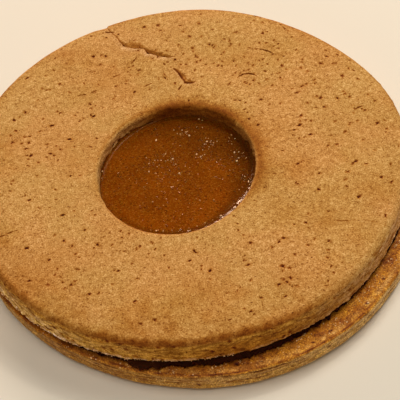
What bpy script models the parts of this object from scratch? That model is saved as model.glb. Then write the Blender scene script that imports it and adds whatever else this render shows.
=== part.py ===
"""Sable sandwich biscuit: two round shortbread discs with amber jam between them.

The upper disc has a round window, off its centre, where the jam shows. The lower disc lies
upside down: its flat baked side is against the jam and its rounded shoulder is on the table.
It sits a little to the front and right of the upper one, so its edge shows there.

Units are metres and +Z is up. The origin is on the table, under the middle of the stack.
"""

import math
from collections import namedtuple

import bmesh
import bpy
from mathutils import Vector, noise

MM = 0.001

# Driving dimensions: a 95 mm plain cutter, a 34 mm window cutter and 6 mm rolled dough.
BISCUIT_RADIUS = 47.65 * MM
BISCUIT_THICKNESS = 5.95 * MM
WINDOW_RADIUS = 17.2 * MM
JAM_THICKNESS = 1.65 * MM
POOL_DEPTH = 3.2 * MM
STACK_SHIFT = Vector((2.07, -2.92)) * MM
WINDOW_SHIFT = Vector((-1.66, -2.55)) * MM

# Edge of a baked disc: a crisp foot, a wall drawn in above it and a rounded shoulder.
FOOT_HEIGHT = 0.35 * MM
WALL_DRAW_IN = 0.45 * MM
WALL_BULGE = 0.11 * MM
SHOULDER_RADIUS = 1.5 * MM
SHOULDER_DROP = 0.18 * MM
SHOULDER_FADE = 3.2 * MM
WINDOW_ROUNDING = 0.8 * MM

# How uneven the hand-cut outlines are: number of waves, share of the radius, phase.
UPPER_WAVES = (
    (2, 0.0056, 1.93), (3, 0.0045, -0.07), (4, 0.0016, 0.12), (5, 0.0049, -0.70), (6, 0.0020, -0.92),
)
LOWER_WAVES = ((2, 0.0073, -0.80), (3, 0.0058, 3.05), (4, 0.0057, 0.75))
JAM_WAVES = ((3, 0.0030, 0.40), (5, 0.0020, 2.00), (8, 0.0020, 4.10))
WINDOW_OVAL = 0.033
WINDOW_LEAN = math.radians(71)

# Baked surface: the size of the unevenness and the distance from one rise to the next.
WALL_ROUGHNESS = 0.16 * MM
FOOT_ROUGHNESS = 0.30 * MM
CRUMB_LENGTH = 2.2 * MM
FACE_SWELL = 0.16 * MM
SWELL_LENGTH = 15 * MM
UPPER_SEED = 3.7
LOWER_SEED = 11.3

# Jam: a layer that slid to the front, flush with the upper foot there, and pressed out past it.
JAM_RADIUS = 45.0 * MM
JAM_SLIDE = Vector((0.0, -1.1)) * MM
JAM_GAP = 0.3 * MM
MENISCUS_HEIGHT = 0.8 * MM
MENISCUS_WIDTH = 1.8 * MM
# Each tongue is its direction, how far it reaches past the layer and its half width. The one
# that reaches less than nothing is a stretch where the jam stays back.
JAM_TONGUES = (
    (math.radians(-108.6), 1.9 * MM, math.radians(3)),
    (math.radians(-82), 0.45 * MM, math.radians(6)),
    (math.radians(-38), -0.6 * MM, math.radians(12)),
)

# Cracks baked into the upper face, from the middle of the disc: the path in millimetres.
RIM_CRACK_PATH = (
    (-14.6, 46.6), (-13.9, 44.6), (-13.1, 42.6), (-12.5, 40.3), (-11.3, 39.5), (-9.9, 37.6),
    (-7.9, 36.2), (-5.6, 35.7), (-4.6, 33.9), (-2.6, 32.7), (-0.3, 31.6), (1.3, 31.5),
)
RIM_CRACK_HALF_WIDTH = 0.62 * MM
RIM_NOTCH_DEPTH = 2.0 * MM
SHORT_CRACK_PATH = ((0.8, 26.6), (1.8, 25.0), (2.6, 23.3), (2.6, 22.3), (4.4, 21.9))
SHORT_CRACK_HALF_WIDTH = 0.34 * MM
CRACK_END_WIDTH = 0.35
CRACK_CUTTER_RESOLUTION = 2

UPPER_SEGMENTS = 144
LOWER_SEGMENTS = 120
JAM_SEGMENTS = 144
MERGE_DISTANCE = 0.01 * MM

UPPER_CENTRE = STACK_SHIFT * -0.5
LOWER_CENTRE = STACK_SHIFT * 0.5
JAM_BASE = BISCUIT_THICKNESS + JAM_GAP
UPPER_BASE = BISCUIT_THICKNESS + JAM_THICKNESS

Hole = namedtuple("Hole", "radius shift oval")
NO_HOLE = Hole(0.0, Vector((0.0, 0.0)), 0.0)


def clear_scene():
    """Removes every object that the startup scene holds."""
    for obj in list(bpy.data.objects):
        bpy.data.objects.remove(obj)


def collection_named(name, shown=True):
    """Makes a collection in the scene, hidden from renders if it holds cutters."""
    made = bpy.data.collections.new(name)
    made.hide_render = not shown
    bpy.context.scene.collection.children.link(made)
    return made


def finish(name, colour, roughness):
    """A plain material with a colour and a roughness."""
    material = bpy.data.materials.new(name)
    material.use_nodes = True
    shader = material.node_tree.nodes["Principled BSDF"]
    shader.inputs["Base Color"].default_value = (*colour, 1.0)
    shader.inputs["Roughness"].default_value = roughness
    shader.inputs["Metallic"].default_value = 0.0
    material.diffuse_color = (*colour, 1.0)
    return material


def smooth_step(value):
    """Eases from 0 to 1 as value goes from 0 to 1."""
    value = min(1.0, max(0.0, value))
    return value * value * (3 - 2 * value)


def arc(centre, radius, start, end, steps):
    """Points along part of a circle; the angles are in degrees."""
    angles = [math.radians(start + (end - start) * i / steps) for i in range(steps + 1)]
    return [(centre[0] + radius * math.cos(a), centre[1] + radius * math.sin(a)) for a in angles]


def rim_profile():
    """Edge of a baked disc from its top face down to its underside, as (radius, height)."""
    wall_radius = BISCUIT_RADIUS - WALL_DRAW_IN
    centre_radius = wall_radius - SHOULDER_RADIUS
    centre_height = BISCUIT_THICKNESS - SHOULDER_DROP - SHOULDER_RADIUS
    return [
        (centre_radius - SHOULDER_FADE, BISCUIT_THICKNESS),
        *arc((centre_radius, centre_height), SHOULDER_RADIUS, 90, 0, 5),
        (wall_radius + WALL_BULGE, (centre_height + FOOT_HEIGHT) / 2),
        (BISCUIT_RADIUS, FOOT_HEIGHT),
        (BISCUIT_RADIUS - FOOT_HEIGHT, 0.0),
    ]


def window_profile():
    """Wall of the window from the underside up to the top face, as (radius, height)."""
    rounding_centre = (WINDOW_RADIUS + WINDOW_ROUNDING, BISCUIT_THICKNESS - WINDOW_ROUNDING)
    return [
        (WINDOW_RADIUS, 0.0),
        (WINDOW_RADIUS, BISCUIT_THICKNESS / 2),
        *arc(rounding_centre, WINDOW_ROUNDING, 180, 90, 3),
    ]


def upper_profile():
    """Closed outline of the windowed disc: window, top face, rim and underside."""
    window = window_profile()
    rim = rim_profile()
    face_start = window[-1][0]
    face_step = (rim[0][0] - face_start) / 5
    face = [(face_start + face_step * i, BISCUIT_THICKNESS) for i in range(1, 5)]
    return [*window, *face, *rim]


def lower_profile():
    """Open outline of the plain disc, from the axis on its top face to the axis below."""
    rim = rim_profile()
    return [(0.0, BISCUIT_THICKNESS), (rim[0][0] / 2, BISCUIT_THICKNESS), *rim, (0.0, 0.0)]


def jam_profile():
    """Open outline of the jam: the pool in the window, its wall and the layer's round edge."""
    layer_top = JAM_THICKNESS - 2 * JAM_GAP
    pool_top = JAM_THICKNESS + BISCUIT_THICKNESS - JAM_GAP - POOL_DEPTH
    pool_radius = WINDOW_RADIUS - JAM_GAP
    meniscus = [
        (pool_radius - MENISCUS_WIDTH * (1 - i / 4), pool_top + MENISCUS_HEIGHT * (i / 4) ** 2)
        for i in range(5)
    ]
    edge_radius = layer_top / 2
    return [
        (0.0, pool_top),
        (pool_radius / 2, pool_top),
        *meniscus,
        (pool_radius, layer_top),
        (JAM_RADIUS * 0.75, layer_top),
        *arc((JAM_RADIUS - edge_radius, edge_radius), edge_radius, 90, -90, 4),
        (0.0, 0.0),
    ]


def evaluated_mesh(obj):
    """The mesh that an object's modifiers or bevel make, closed, with its faces outwards."""
    bpy.context.scene.collection.objects.link(obj)
    bpy.context.view_layer.update()
    graph = bpy.context.evaluated_depsgraph_get()
    mesh = bpy.data.meshes.new_from_object(obj.evaluated_get(graph))
    bpy.data.objects.remove(obj)
    work = bmesh.new()
    work.from_mesh(mesh)
    bmesh.ops.remove_doubles(work, verts=work.verts, dist=MERGE_DISTANCE)
    bmesh.ops.recalc_face_normals(work, faces=work.faces)
    work.to_mesh(mesh)
    work.free()
    return mesh


def turned(name, profile, segments, closed):
    """Turns an outline about Z with a Screw and returns the disc as an object."""
    outline = bmesh.new()
    points = [outline.verts.new((radius, 0.0, height)) for radius, height in profile]
    for first, second in zip(points, points[1:]):
        outline.edges.new((first, second))
    if closed:
        outline.edges.new((points[-1], points[0]))
    mesh = bpy.data.meshes.new(name + "_outline")
    outline.to_mesh(mesh)
    outline.free()
    guide = bpy.data.objects.new(name + "_outline", mesh)
    screw = guide.modifiers.new("turn", "SCREW")
    screw.axis = "Z"
    screw.steps = segments
    screw.render_steps = segments
    screw.use_merge_vertices = True
    screw.merge_threshold = MERGE_DISTANCE
    return bpy.data.objects.new(name, evaluated_mesh(guide))


def waved(angle, waves):
    """Share of the radius that the waves add in this direction."""
    return sum(height * math.cos(count * angle + phase) for count, height, phase in waves)


def tongue_reach(angle):
    """How far the jam is pressed out past its layer in this direction."""
    reach = 0.0
    for direction, length, half_width in JAM_TONGUES:
        away = math.remainder(angle - direction, math.tau) / half_width
        reach += length * math.exp(-away * away)
    return reach


def uneven(point, rim_radius, waves, hole, outward):
    """Moves a turned point: the rim gets its waves, the hole slides and turns oval."""
    radius = math.hypot(point.x, point.y)
    angle = math.atan2(point.y, point.x)
    at_hole = smooth_step((rim_radius - radius) / (rim_radius - hole.radius))
    oval = hole.oval * math.cos(2 * (angle - WINDOW_LEAN))
    radius *= 1 + at_hole * oval + (1 - at_hole) * waved(angle, waves)
    radius += outward * (1 - at_hole)
    x = radius * math.cos(angle) + at_hole * hole.shift.x
    y = radius * math.sin(angle) + at_hole * hole.shift.y
    return Vector((x, y, point.z))


def rim_roughness(point, seed):
    """How far a point on the wall or the ragged foot of a disc stands out or in."""
    radius = math.hypot(point.x, point.y)
    on_wall = smooth_step((radius - BISCUIT_RADIUS) / SHOULDER_RADIUS + 1)
    at_foot = 1 - smooth_step(point.z / (3 * FOOT_HEIGHT))
    place = point / CRUMB_LENGTH + Vector((seed, seed, seed))
    swell = noise.noise(place / 2) * WALL_ROUGHNESS
    ragged = noise.noise(place) * FOOT_ROUGHNESS * at_foot
    return on_wall * (swell + ragged)


def bake(disc, waves, hole, swell, seed):
    """Gives a turned disc its hand-cut outline, rough rim and slightly uneven top face."""
    for vertex in disc.data.vertices:
        point = vertex.co.copy()
        placed = uneven(point, BISCUIT_RADIUS, waves, hole, rim_roughness(point, seed))
        on_top = smooth_step((point.z / BISCUIT_THICKNESS - 0.7) / 0.25)
        place = Vector((placed.x / SWELL_LENGTH, placed.y / SWELL_LENGTH, seed))
        placed.z += swell * on_top * noise.noise(place)
        vertex.co = placed


def crack_cutter(name, path, half_width, notch_depth, collection):
    """A tapering tube along a crack's path, half sunk in the face that it cuts."""
    curve = bpy.data.curves.new(name, "CURVE")
    curve.dimensions = "3D"
    curve.bevel_depth = half_width
    curve.bevel_resolution = CRACK_CUTTER_RESOLUTION
    curve.use_fill_caps = True
    spline = curve.splines.new("POLY")
    last = len(path) - 1
    spline.points.add(last)
    for index, (x, y) in enumerate(path):
        drop = notch_depth * max(0.0, 1 - index / 2) ** 2
        spline.points[index].co = (x * MM, y * MM, BISCUIT_THICKNESS - drop, 1.0)
        spline.points[index].radius = 1 - (1 - CRACK_END_WIDTH) * (index / last) ** 3
    guide = bpy.data.objects.new(name + "_path", curve)
    cutter = bpy.data.objects.new(name, evaluated_mesh(guide))
    cutter.hide_render = True
    cutter.display_type = "WIRE"
    collection.objects.link(cutter)
    return cutter


def shade(obj, material, collection):
    """Puts a piece in its collection with its material and smooth shading."""
    obj.data.materials.clear()
    obj.data.materials.append(material)
    obj.data.shade_smooth()
    obj.data.set_sharp_from_angle(angle=math.radians(50))
    collection.objects.link(obj)


def build_upper(collection, cutters, material):
    """The windowed disc, right way up on the jam, with its baked cracks."""
    upper = turned("upper_biscuit", upper_profile(), UPPER_SEGMENTS, closed=True)
    window = Hole(WINDOW_RADIUS, WINDOW_SHIFT, WINDOW_OVAL)
    bake(upper, UPPER_WAVES, window, FACE_SWELL, UPPER_SEED)
    upper.location = (UPPER_CENTRE.x, UPPER_CENTRE.y, UPPER_BASE)
    shade(upper, material, collection)
    cracks = (
        ("rim_crack", RIM_CRACK_PATH, RIM_CRACK_HALF_WIDTH, RIM_NOTCH_DEPTH),
        ("short_crack", SHORT_CRACK_PATH, SHORT_CRACK_HALF_WIDTH, 0.0),
    )
    for name, path, half_width, notch_depth in cracks:
        cutter = crack_cutter(name, path, half_width, notch_depth, cutters)
        cutter.location = upper.location
        cut = upper.modifiers.new(name, "BOOLEAN")
        cut.operation = "DIFFERENCE"
        cut.solver = "EXACT"
        cut.object = cutter


def build_lower(collection, material):
    """The plain disc, upside down: flat side up, rounded shoulder on the table."""
    lower = turned("lower_biscuit", lower_profile(), LOWER_SEGMENTS, closed=False)
    bake(lower, LOWER_WAVES, NO_HOLE, 0.0, LOWER_SEED)
    lower.rotation_euler = (math.pi, 0.0, 0.0)
    lower.location = (LOWER_CENTRE.x, LOWER_CENTRE.y, BISCUIT_THICKNESS)
    shade(lower, material, collection)


def build_jam(collection, material):
    """The jam: one layer between the discs that also fills the window as a pool."""
    jam = turned("jam_filling", jam_profile(), JAM_SEGMENTS, closed=False)
    pool_shift = UPPER_CENTRE + WINDOW_SHIFT - JAM_SLIDE
    pool = Hole(WINDOW_RADIUS - JAM_GAP, pool_shift, WINDOW_OVAL)
    for vertex in jam.data.vertices:
        reach = tongue_reach(math.atan2(vertex.co.y, vertex.co.x))
        vertex.co = uneven(vertex.co, JAM_RADIUS, JAM_WAVES, pool, reach)
    jam.location = (JAM_SLIDE.x, JAM_SLIDE.y, JAM_BASE)
    shade(jam, material, collection)


def footprint_middle(objects):
    """The middle of the rectangle that the objects cover, seen from above."""
    bpy.context.view_layer.update()
    places = [obj.matrix_world @ vertex.co for obj in objects for vertex in obj.data.vertices]
    xs = [place.x for place in places]
    ys = [place.y for place in places]
    return Vector(((min(xs) + max(xs)) / 2, (min(ys) + max(ys)) / 2, 0.0))


def main():
    """Builds the stack from the table up, then centres it on the origin."""
    clear_scene()
    pieces = collection_named("sable_sandwich_biscuit")
    cutters = collection_named("cutters", shown=False)
    face_dough = finish("baked_dough", (0.58, 0.33, 0.12), 0.8)
    base_dough = finish("baked_dough_underside", (0.50, 0.25, 0.08), 0.8)
    amber_jam = finish("amber_jam", (0.27, 0.09, 0.012), 0.18)
    build_lower(pieces, base_dough)
    build_jam(pieces, amber_jam)
    build_upper(pieces, cutters, face_dough)
    middle = footprint_middle(pieces.objects)
    for obj in (*pieces.objects, *cutters.objects):
        obj.location -= middle


main()
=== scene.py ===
"""Dresses the sable sandwich biscuit: baked relief, pores, cracks, glossy jam and light.

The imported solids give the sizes. Each of them is replaced by a finely turned mesh of the same
form, which carries what the solids leave out: sandy relief, pores, hairline cracks, a layered
wall, a ragged foot, bubbles in the jam, crumbs and sugar grains. Lengths are in metres, unless a
comment or a docstring says millimetres, and angles are in radians, unless they say degrees.
"""

import logging
import math
import random
from dataclasses import dataclass, field, replace
from enum import Enum
from typing import Callable, Iterable

import bmesh
import bpy
from mathutils import Matrix, Vector, noise
from mathutils.kdtree import KDTree


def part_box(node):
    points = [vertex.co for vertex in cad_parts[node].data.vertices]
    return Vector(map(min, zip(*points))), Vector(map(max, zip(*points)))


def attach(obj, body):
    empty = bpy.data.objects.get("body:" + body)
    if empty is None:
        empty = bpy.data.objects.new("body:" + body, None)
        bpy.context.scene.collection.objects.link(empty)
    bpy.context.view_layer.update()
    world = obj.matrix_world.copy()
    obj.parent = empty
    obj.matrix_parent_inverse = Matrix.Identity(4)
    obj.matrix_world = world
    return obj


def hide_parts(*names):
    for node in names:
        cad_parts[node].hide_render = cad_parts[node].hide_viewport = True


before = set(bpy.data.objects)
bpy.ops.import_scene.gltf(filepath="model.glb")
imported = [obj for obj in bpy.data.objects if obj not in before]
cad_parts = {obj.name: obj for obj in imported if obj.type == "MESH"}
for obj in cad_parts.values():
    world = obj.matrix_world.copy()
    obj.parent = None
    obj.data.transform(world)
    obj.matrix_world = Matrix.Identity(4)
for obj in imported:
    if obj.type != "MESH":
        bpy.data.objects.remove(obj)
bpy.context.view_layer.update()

LOG = logging.getLogger("sable")
MM = 0.001
MERGE_DISTANCE = 0.001 * MM
Profile = list[tuple[float, float]]
Colour = tuple[float, float, float]
Path = tuple[tuple[float, ...], ...]
Skin = bmesh.types.BMesh
Point = bmesh.types.BMVert
Layers = dict["Mask", bmesh.types.BMLayerItem]
Socket = bpy.types.NodeSocket


class Node(Enum):
    """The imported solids, by name."""

    UPPER = "upper_biscuit"
    JAM = "jam_filling"
    LOWER = "lower_biscuit"


class Slot(Enum):
    """The record's material slots, by name."""

    FACE = "baked_dough"
    BASE = "baked_dough_underside"
    JAM = "amber_jam"


class Mask(Enum):
    """The masks that the meshes carry for their finishes."""

    # Darkens by toasting and by painted shade, on the front shoulder, in cracks and under the upper
    # disc; below 0 it is painted light.
    TOAST = "toast"
    # Lightens the crumb, and is also painted light on crack lips and on the right of the foot.
    PALE = "pale"
    # Darkens holes and cracks, partly as painted shade.
    PIT = "pit"
    WALL = "wall"
    # The jam's painted shade near the window wall and in the gap between the discs.
    EDGE = "edge"
    BUBBLE = "bubble"
    THIN = "thin"


def ease(value: float, start: float = 0.0, end: float = 1.0) -> float:
    """Eases from 0 to 1 as a value goes from start to end."""
    share = min(1.0, max(0.0, (value - start) / (end - start)))
    return share * share * (3 - 2 * share)


def ease_mm(value: float, start: float, end: float) -> float:
    """Eases from 0 to 1 as a length in metres goes between two lengths in millimetres."""
    return ease(value, start * MM, end * MM)


def limited(value: float) -> float:
    """The value, kept between 0 and 1."""
    return min(1.0, max(0.0, value))


def ripple(place: Vector, length: float, seed: float) -> float:
    """Smooth noise from about -1 to 1 with rises about a length in millimetres apart."""
    return noise.noise(place / (length * MM) + Vector((seed, seed * 1.7, seed * 0.6)))


def ripples(place: Vector, *waves: tuple[float, float, float]) -> float:
    """A sum of ripples, each given by its strength, its length and its seed."""
    return sum(strength * ripple(place, length, seed) for strength, length, seed in waves)


def layered(place: Vector, along: float, up: float, seed: float) -> float:
    """Noise drawn out sideways, as the layers in a cut and baked wall are, in millimetres."""
    spot = Vector((place.x / (along * MM) + seed, place.y / (along * MM), place.z / (up * MM)))
    return noise.noise(spot)


def from_direction(angle: float, degrees: float) -> float:
    """1 where an angle points in a direction, 0 square to it and beyond."""
    return max(0.0, math.cos(angle - math.radians(degrees)))


def polar(point: Vector) -> tuple[float, float]:
    """A point's distance from the axis and its direction."""
    return math.hypot(point.x, point.y), math.atan2(point.y, point.x)


def on_circle(angle: float, radius: float = 1.0, height: float = 0.0) -> Vector:
    """The point in a direction, at a radius and a height."""
    return Vector((radius * math.cos(angle), radius * math.sin(angle), height))


def drawn_size(draw: random.Random, low: float, more: float, power: float = 1.0) -> float:
    """A random size: low millimetres and up to so many more, which a high power makes rare."""
    return (low + more * draw.random() ** power) * MM


class Round:
    """A value that changes with the direction round a disc."""

    def __init__(self, *pairs: tuple[float, float]) -> None:
        """Keeps pairs of a direction in degrees, from -180 to 180, and the value there."""
        self.pairs = pairs

    def __call__(self, angle: float) -> float:
        """The value in a direction, eased between the two nearest pairs."""
        degrees = math.degrees(math.remainder(angle, math.tau))
        for (d0, v0), (d1, v1) in zip(self.pairs, self.pairs[1:]):
            if d0 <= degrees <= d1:
                return v0 + (v1 - v0) * ease(degrees, d0, d1)
        return self.pairs[0][1]


def arc(centre: tuple[float, float], radius: float, start: float, end: float) -> Profile:
    """Points along part of a circle in a profile, the angles in degrees."""
    steps = max(3, round(abs(end - start) / 10))
    angles = [math.radians(start + (end - start) * i / steps) for i in range(steps + 1)]
    return [(centre[0] + radius * math.cos(a), centre[1] + radius * math.sin(a)) for a in angles]


def joined(*runs: tuple[Profile, float]) -> Profile:
    """Joins runs of a profile and adds points so that neighbours are near enough.

    Args:
        *runs: Corners of each run, as (radius, height), and the largest distance between points.

    Returns:
        The profile, with its corners kept.
    """
    points = [runs[0][0][0]]
    for corners, spacing in runs:
        for r1, z1 in corners:
            r0, z0 = points[-1]
            count = math.ceil(math.hypot(r1 - r0, z1 - z0) / spacing)
            points += [(r0 + (r1 - r0) * i / count, z0 + (z1 - z0) * i / count)
                       for i in range(1, count + 1)]
    return points


def turned(profile: Profile, segments: int, closed: bool) -> Skin:
    """Spins a profile once about Z into a closed skin.

    Args:
        profile: Points as (radius, height).
        segments: Steps of the spin.
        closed: Whether the last point joins the first.

    Returns:
        The skin, its seam and poles merged and its faces outwards.
    """
    work = bmesh.new()
    points = [work.verts.new((radius, 0.0, height)) for radius, height in profile]
    edges = [work.edges.new(pair) for pair in zip(points, points[1:])]
    if closed:
        edges.append(work.edges.new((points[-1], points[0])))
    bmesh.ops.spin(
        work, geom=points + edges, cent=(0, 0, 0), axis=(0, 0, 1), dvec=(0, 0, 0),
        angle=math.tau, steps=segments, use_merge=True, use_duplicate=False,
    )
    bmesh.ops.remove_doubles(work, verts=work.verts, dist=MERGE_DISTANCE)
    bmesh.ops.recalc_face_normals(work, faces=work.faces)
    return work


class Points:
    """The points of a mesh, with a search tree over their places."""

    def __init__(self, work: Skin) -> None:
        """Reads the places as they are now."""
        self.verts = list(work.verts)
        self.tree = KDTree(len(self.verts))
        for index, vert in enumerate(self.verts):
            self.tree.insert(vert.co, index)
        self.tree.balance()

    def near(self, place: Vector, reach: float) -> list[Point]:
        """The points within a reach of a place."""
        return [self.verts[index] for _, index, _ in self.tree.find_range(place, reach)]


def refine_among(work: Skin, near: set[Point]) -> None:
    """Halves the edges between some of the points of a mesh."""
    edges = [edge for edge in work.edges if edge.verts[0] in near and edge.verts[1] in near]
    bmesh.ops.subdivide_edges(work, edges=edges, cuts=1, use_grid_fill=True)


def refine_near(work: Skin, spots: Iterable[tuple[Vector, float]]) -> None:
    """Halves the edges within a reach of each spot, so that small relief has points."""
    points = Points(work)
    refine_among(work, {vert for place, reach in spots for vert in points.near(place, reach)})


def mask_layers(work: Skin, *masks: Mask) -> Layers:
    """Adds a number to each point of a mesh for each mask."""
    return {mask: work.verts.layers.float.new(mask.value) for mask in masks}


def linked(name: str, data: bpy.types.ID) -> bpy.types.Object:
    """A new object in the scene."""
    made = bpy.data.objects.new(name, data)
    bpy.context.scene.collection.objects.link(made)
    return made


def finished(work: Skin, name: str, place: Vector = Vector(), smooth: bool = True) -> bpy.types.Object:
    """Turns a bmesh into an object at the origin, with its place in its mesh.

    Args:
        work: The mesh, which is freed.
        name: The piece's name.
        place: How far the mesh is moved.
        smooth: Whether its faces shade smoothly.

    Returns:
        The object, linked to the scene.
    """
    bmesh.ops.translate(work, verts=work.verts, vec=place)
    bmesh.ops.triangulate(work, faces=[face for face in work.faces if len(face.verts) > 4])
    mesh = bpy.data.meshes.new(name)
    work.to_mesh(mesh)
    work.free()
    if smooth:
        mesh.shade_smooth()
    return linked(name, mesh)


def dressed(piece: bpy.types.Object, material: bpy.types.Material, slot: Slot) -> None:
    """Gives a piece its material and the body that it rides on."""
    piece.data.materials.append(material)
    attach(piece, "root")
    triangles = sum(len(face.vertices) - 2 for face in piece.data.polygons)
    LOG.info("%s: %d triangles", piece.name, triangles)


@dataclass(frozen=True)
class Outline:
    """A hand-cut rim: a circle with a few waves in it."""

    radius: float
    waves: tuple[tuple[int, float, float], ...]

    def share(self, angle: float) -> float:
        """Share of the radius that the waves add in this direction."""
        return sum(size * math.cos(count * angle + phase) for count, size, phase in self.waves)


@dataclass(frozen=True)
class Window:
    """The hole through the upper disc, off centre and slightly oval."""

    radius: float = 17.2 * MM
    shift: Vector = field(default_factory=lambda: Vector((-1.66 * MM, -2.55 * MM)))
    oval: float = 0.033
    lean: float = math.radians(71)

    def outside(self, point: Vector) -> float:
        """How far a point is outside the hole's edge."""
        away = Vector((point.x - self.shift.x, point.y - self.shift.y))
        angle = math.atan2(away.y, away.x)
        return away.length - self.radius * (1 + self.oval * math.cos(2 * (angle - self.lean)))


@dataclass(frozen=True)
class Dough:
    """Sizes of one rolled and baked disc."""

    radius: float = 47.65 * MM
    thickness: float = 5.95 * MM
    foot: float = 0.35 * MM
    draw_in: float = 0.45 * MM
    bulge: float = 0.11 * MM
    shoulder: float = 1.5 * MM
    shoulder_drop: float = 0.18 * MM
    shoulder_fade: float = 3.2 * MM
    window_rounding: float = 0.8 * MM
    wall_roughness: float = 0.16 * MM
    foot_roughness: float = 0.30 * MM
    crumb_length: float = 2.2 * MM
    swell: float = 0.16 * MM
    swell_length: float = 15 * MM

    def rim_profile(self) -> Profile:
        """Edge of the disc from its top face down to its underside."""
        wall = self.radius - self.draw_in
        centre = (wall - self.shoulder, self.thickness - self.shoulder_drop - self.shoulder)
        return [
            (centre[0] - self.shoulder_fade, self.thickness),
            *arc(centre, self.shoulder, 90, 0),
            (wall + self.bulge, (centre[1] + self.foot) / 2),
            (self.radius, self.foot),
            (self.radius - self.foot, 0.0),
        ]

    def rim_roughness(self, point: Vector, seed: float) -> float:
        """How far a point on the wall or the ragged foot of the disc stands out or in."""
        on_wall = ease((point.xy.length - self.radius) / self.shoulder + 1)
        at_foot = 1 - ease(point.z / (3 * self.foot))
        place = point / self.crumb_length + Vector((seed, seed, seed))
        swell = noise.noise(place / 2) * self.wall_roughness
        ragged = noise.noise(place) * self.foot_roughness * at_foot
        return on_wall * (swell + ragged)


UPPER_OUTLINE = Outline(47.65 * MM, (
    (2, 0.0056, 1.93), (3, 0.0045, -0.07), (4, 0.0016, 0.12), (5, 0.0049, -0.70),
    (6, 0.0020, -0.92),
))
LOWER_OUTLINE = Outline(47.65 * MM, ((2, 0.0073, -0.80), (3, 0.0058, 3.05), (4, 0.0057, 0.75)))
JAM_OUTLINE = Outline(45.0 * MM, ((3, 0.0030, 0.40), (5, 0.0020, 2.00), (8, 0.0020, 4.10)))
UPPER_SEED = 3.7
LOWER_SEED = 11.3
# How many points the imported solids' rings have, and how far the jam is pressed to the front.
UPPER_STEPS = 144
LOWER_STEPS = 120
JAM_SHIFT = Vector((0.0, -1.1 * MM))
# The direction, in degrees, of the side that is seen from the front.
FRONT = -85


def uneven(point: Vector, outline: Outline, window: Window | None, outward: float) -> Vector:
    """Moves a turned point: the rim gets its waves, the window slides and turns oval.

    Args:
        point: A point of the turned skin.
        outline: The rim that the skin gets.
        window: The hole that the inner rings follow, or None for a plain disc.
        outward: How far the rim also stands out here.

    Returns:
        The point's new place.
    """
    radius, angle = polar(point)
    inner = window.radius if window else 0.0
    at_hole = ease((outline.radius - radius) / (outline.radius - inner))
    oval = window.oval * math.cos(2 * (angle - window.lean)) if window else 0.0
    radius *= 1 + at_hole * oval + (1 - at_hole) * outline.share(angle)
    placed = on_circle(angle, radius + outward * (1 - at_hole), point.z)
    if window:
        placed.xy += window.shift * at_hole
    return placed


@dataclass(frozen=True)
class Stack:
    """Where the pieces of the stack are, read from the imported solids."""

    upper_centre: Vector
    lower_centre: Vector
    jam_centre: Vector
    upper_base: float
    lower_top: float

    @staticmethod
    def centre_of(node: Node, outline: Outline, seed: float, steps: int, side: int) -> Vector:
        """The middle of a disc: its foot ring is laid into the box of its solid.

        Args:
            node: The solid.
            outline: The disc's rim.
            seed: Where its roughness starts.
            steps: How many points the solid's ring has.
            side: 1 if the disc is right way up, -1 if it is upside down.

        Returns:
            The middle, seen from above.
        """
        low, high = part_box(node.value)
        dough = Dough()
        feet = [on_circle(math.tau * i / steps, dough.radius, dough.foot) for i in range(steps)]
        ring = [uneven(foot, outline, None, dough.rim_roughness(foot, seed)) for foot in feet]
        xs, ys = [foot.x for foot in ring], [foot.y * side for foot in ring]
        return Vector((low.x + high.x - min(xs) - max(xs), low.y + high.y - min(ys) - max(ys))) / 2

    @classmethod
    def from_frame(cls) -> "Stack":
        """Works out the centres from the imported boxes.

        Returns:
            The stack's places in the row frame.
        """
        upper_low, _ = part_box(Node.UPPER.value)
        _, lower_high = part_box(Node.LOWER.value)
        upper = cls.centre_of(Node.UPPER, UPPER_OUTLINE, UPPER_SEED, UPPER_STEPS, 1)
        lower = cls.centre_of(Node.LOWER, LOWER_OUTLINE, LOWER_SEED, LOWER_STEPS, -1)
        return cls(
            upper_centre=upper,
            lower_centre=lower,
            jam_centre=(upper + lower) / 2 + JAM_SHIFT,
            upper_base=upper_low.z,
            lower_top=lower_high.z,
        )


@dataclass(frozen=True)
class Pore:
    """A small baked hole in a face."""

    place: Vector
    radius: float
    stretch: float
    lean: float
    depth: float

    def distance(self, point: Vector) -> float:
        """How far a point is from the middle, 1 at the pore's uneven edge."""
        away = Vector((point.x - self.place.x, point.y - self.place.y))
        along = away.x * math.cos(self.lean) + away.y * math.sin(self.lean)
        across = away.y * math.cos(self.lean) - away.x * math.sin(self.lean)
        ragged = 1 + 0.35 * ripple(point, self.radius / MM * 1.4, 6.1)
        return math.hypot(along / self.stretch, across) / (self.radius * ragged)


@dataclass(frozen=True)
class CrackSinkAndShade:
    """What a crack does to one point of the face: its sink, the painted shade on its slope and line,
    and the painted highlight on its lip.
    """

    sink: float = 0.0
    shade: float = 0.0
    line: float = 0.0
    lip: float = 0.0


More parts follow.
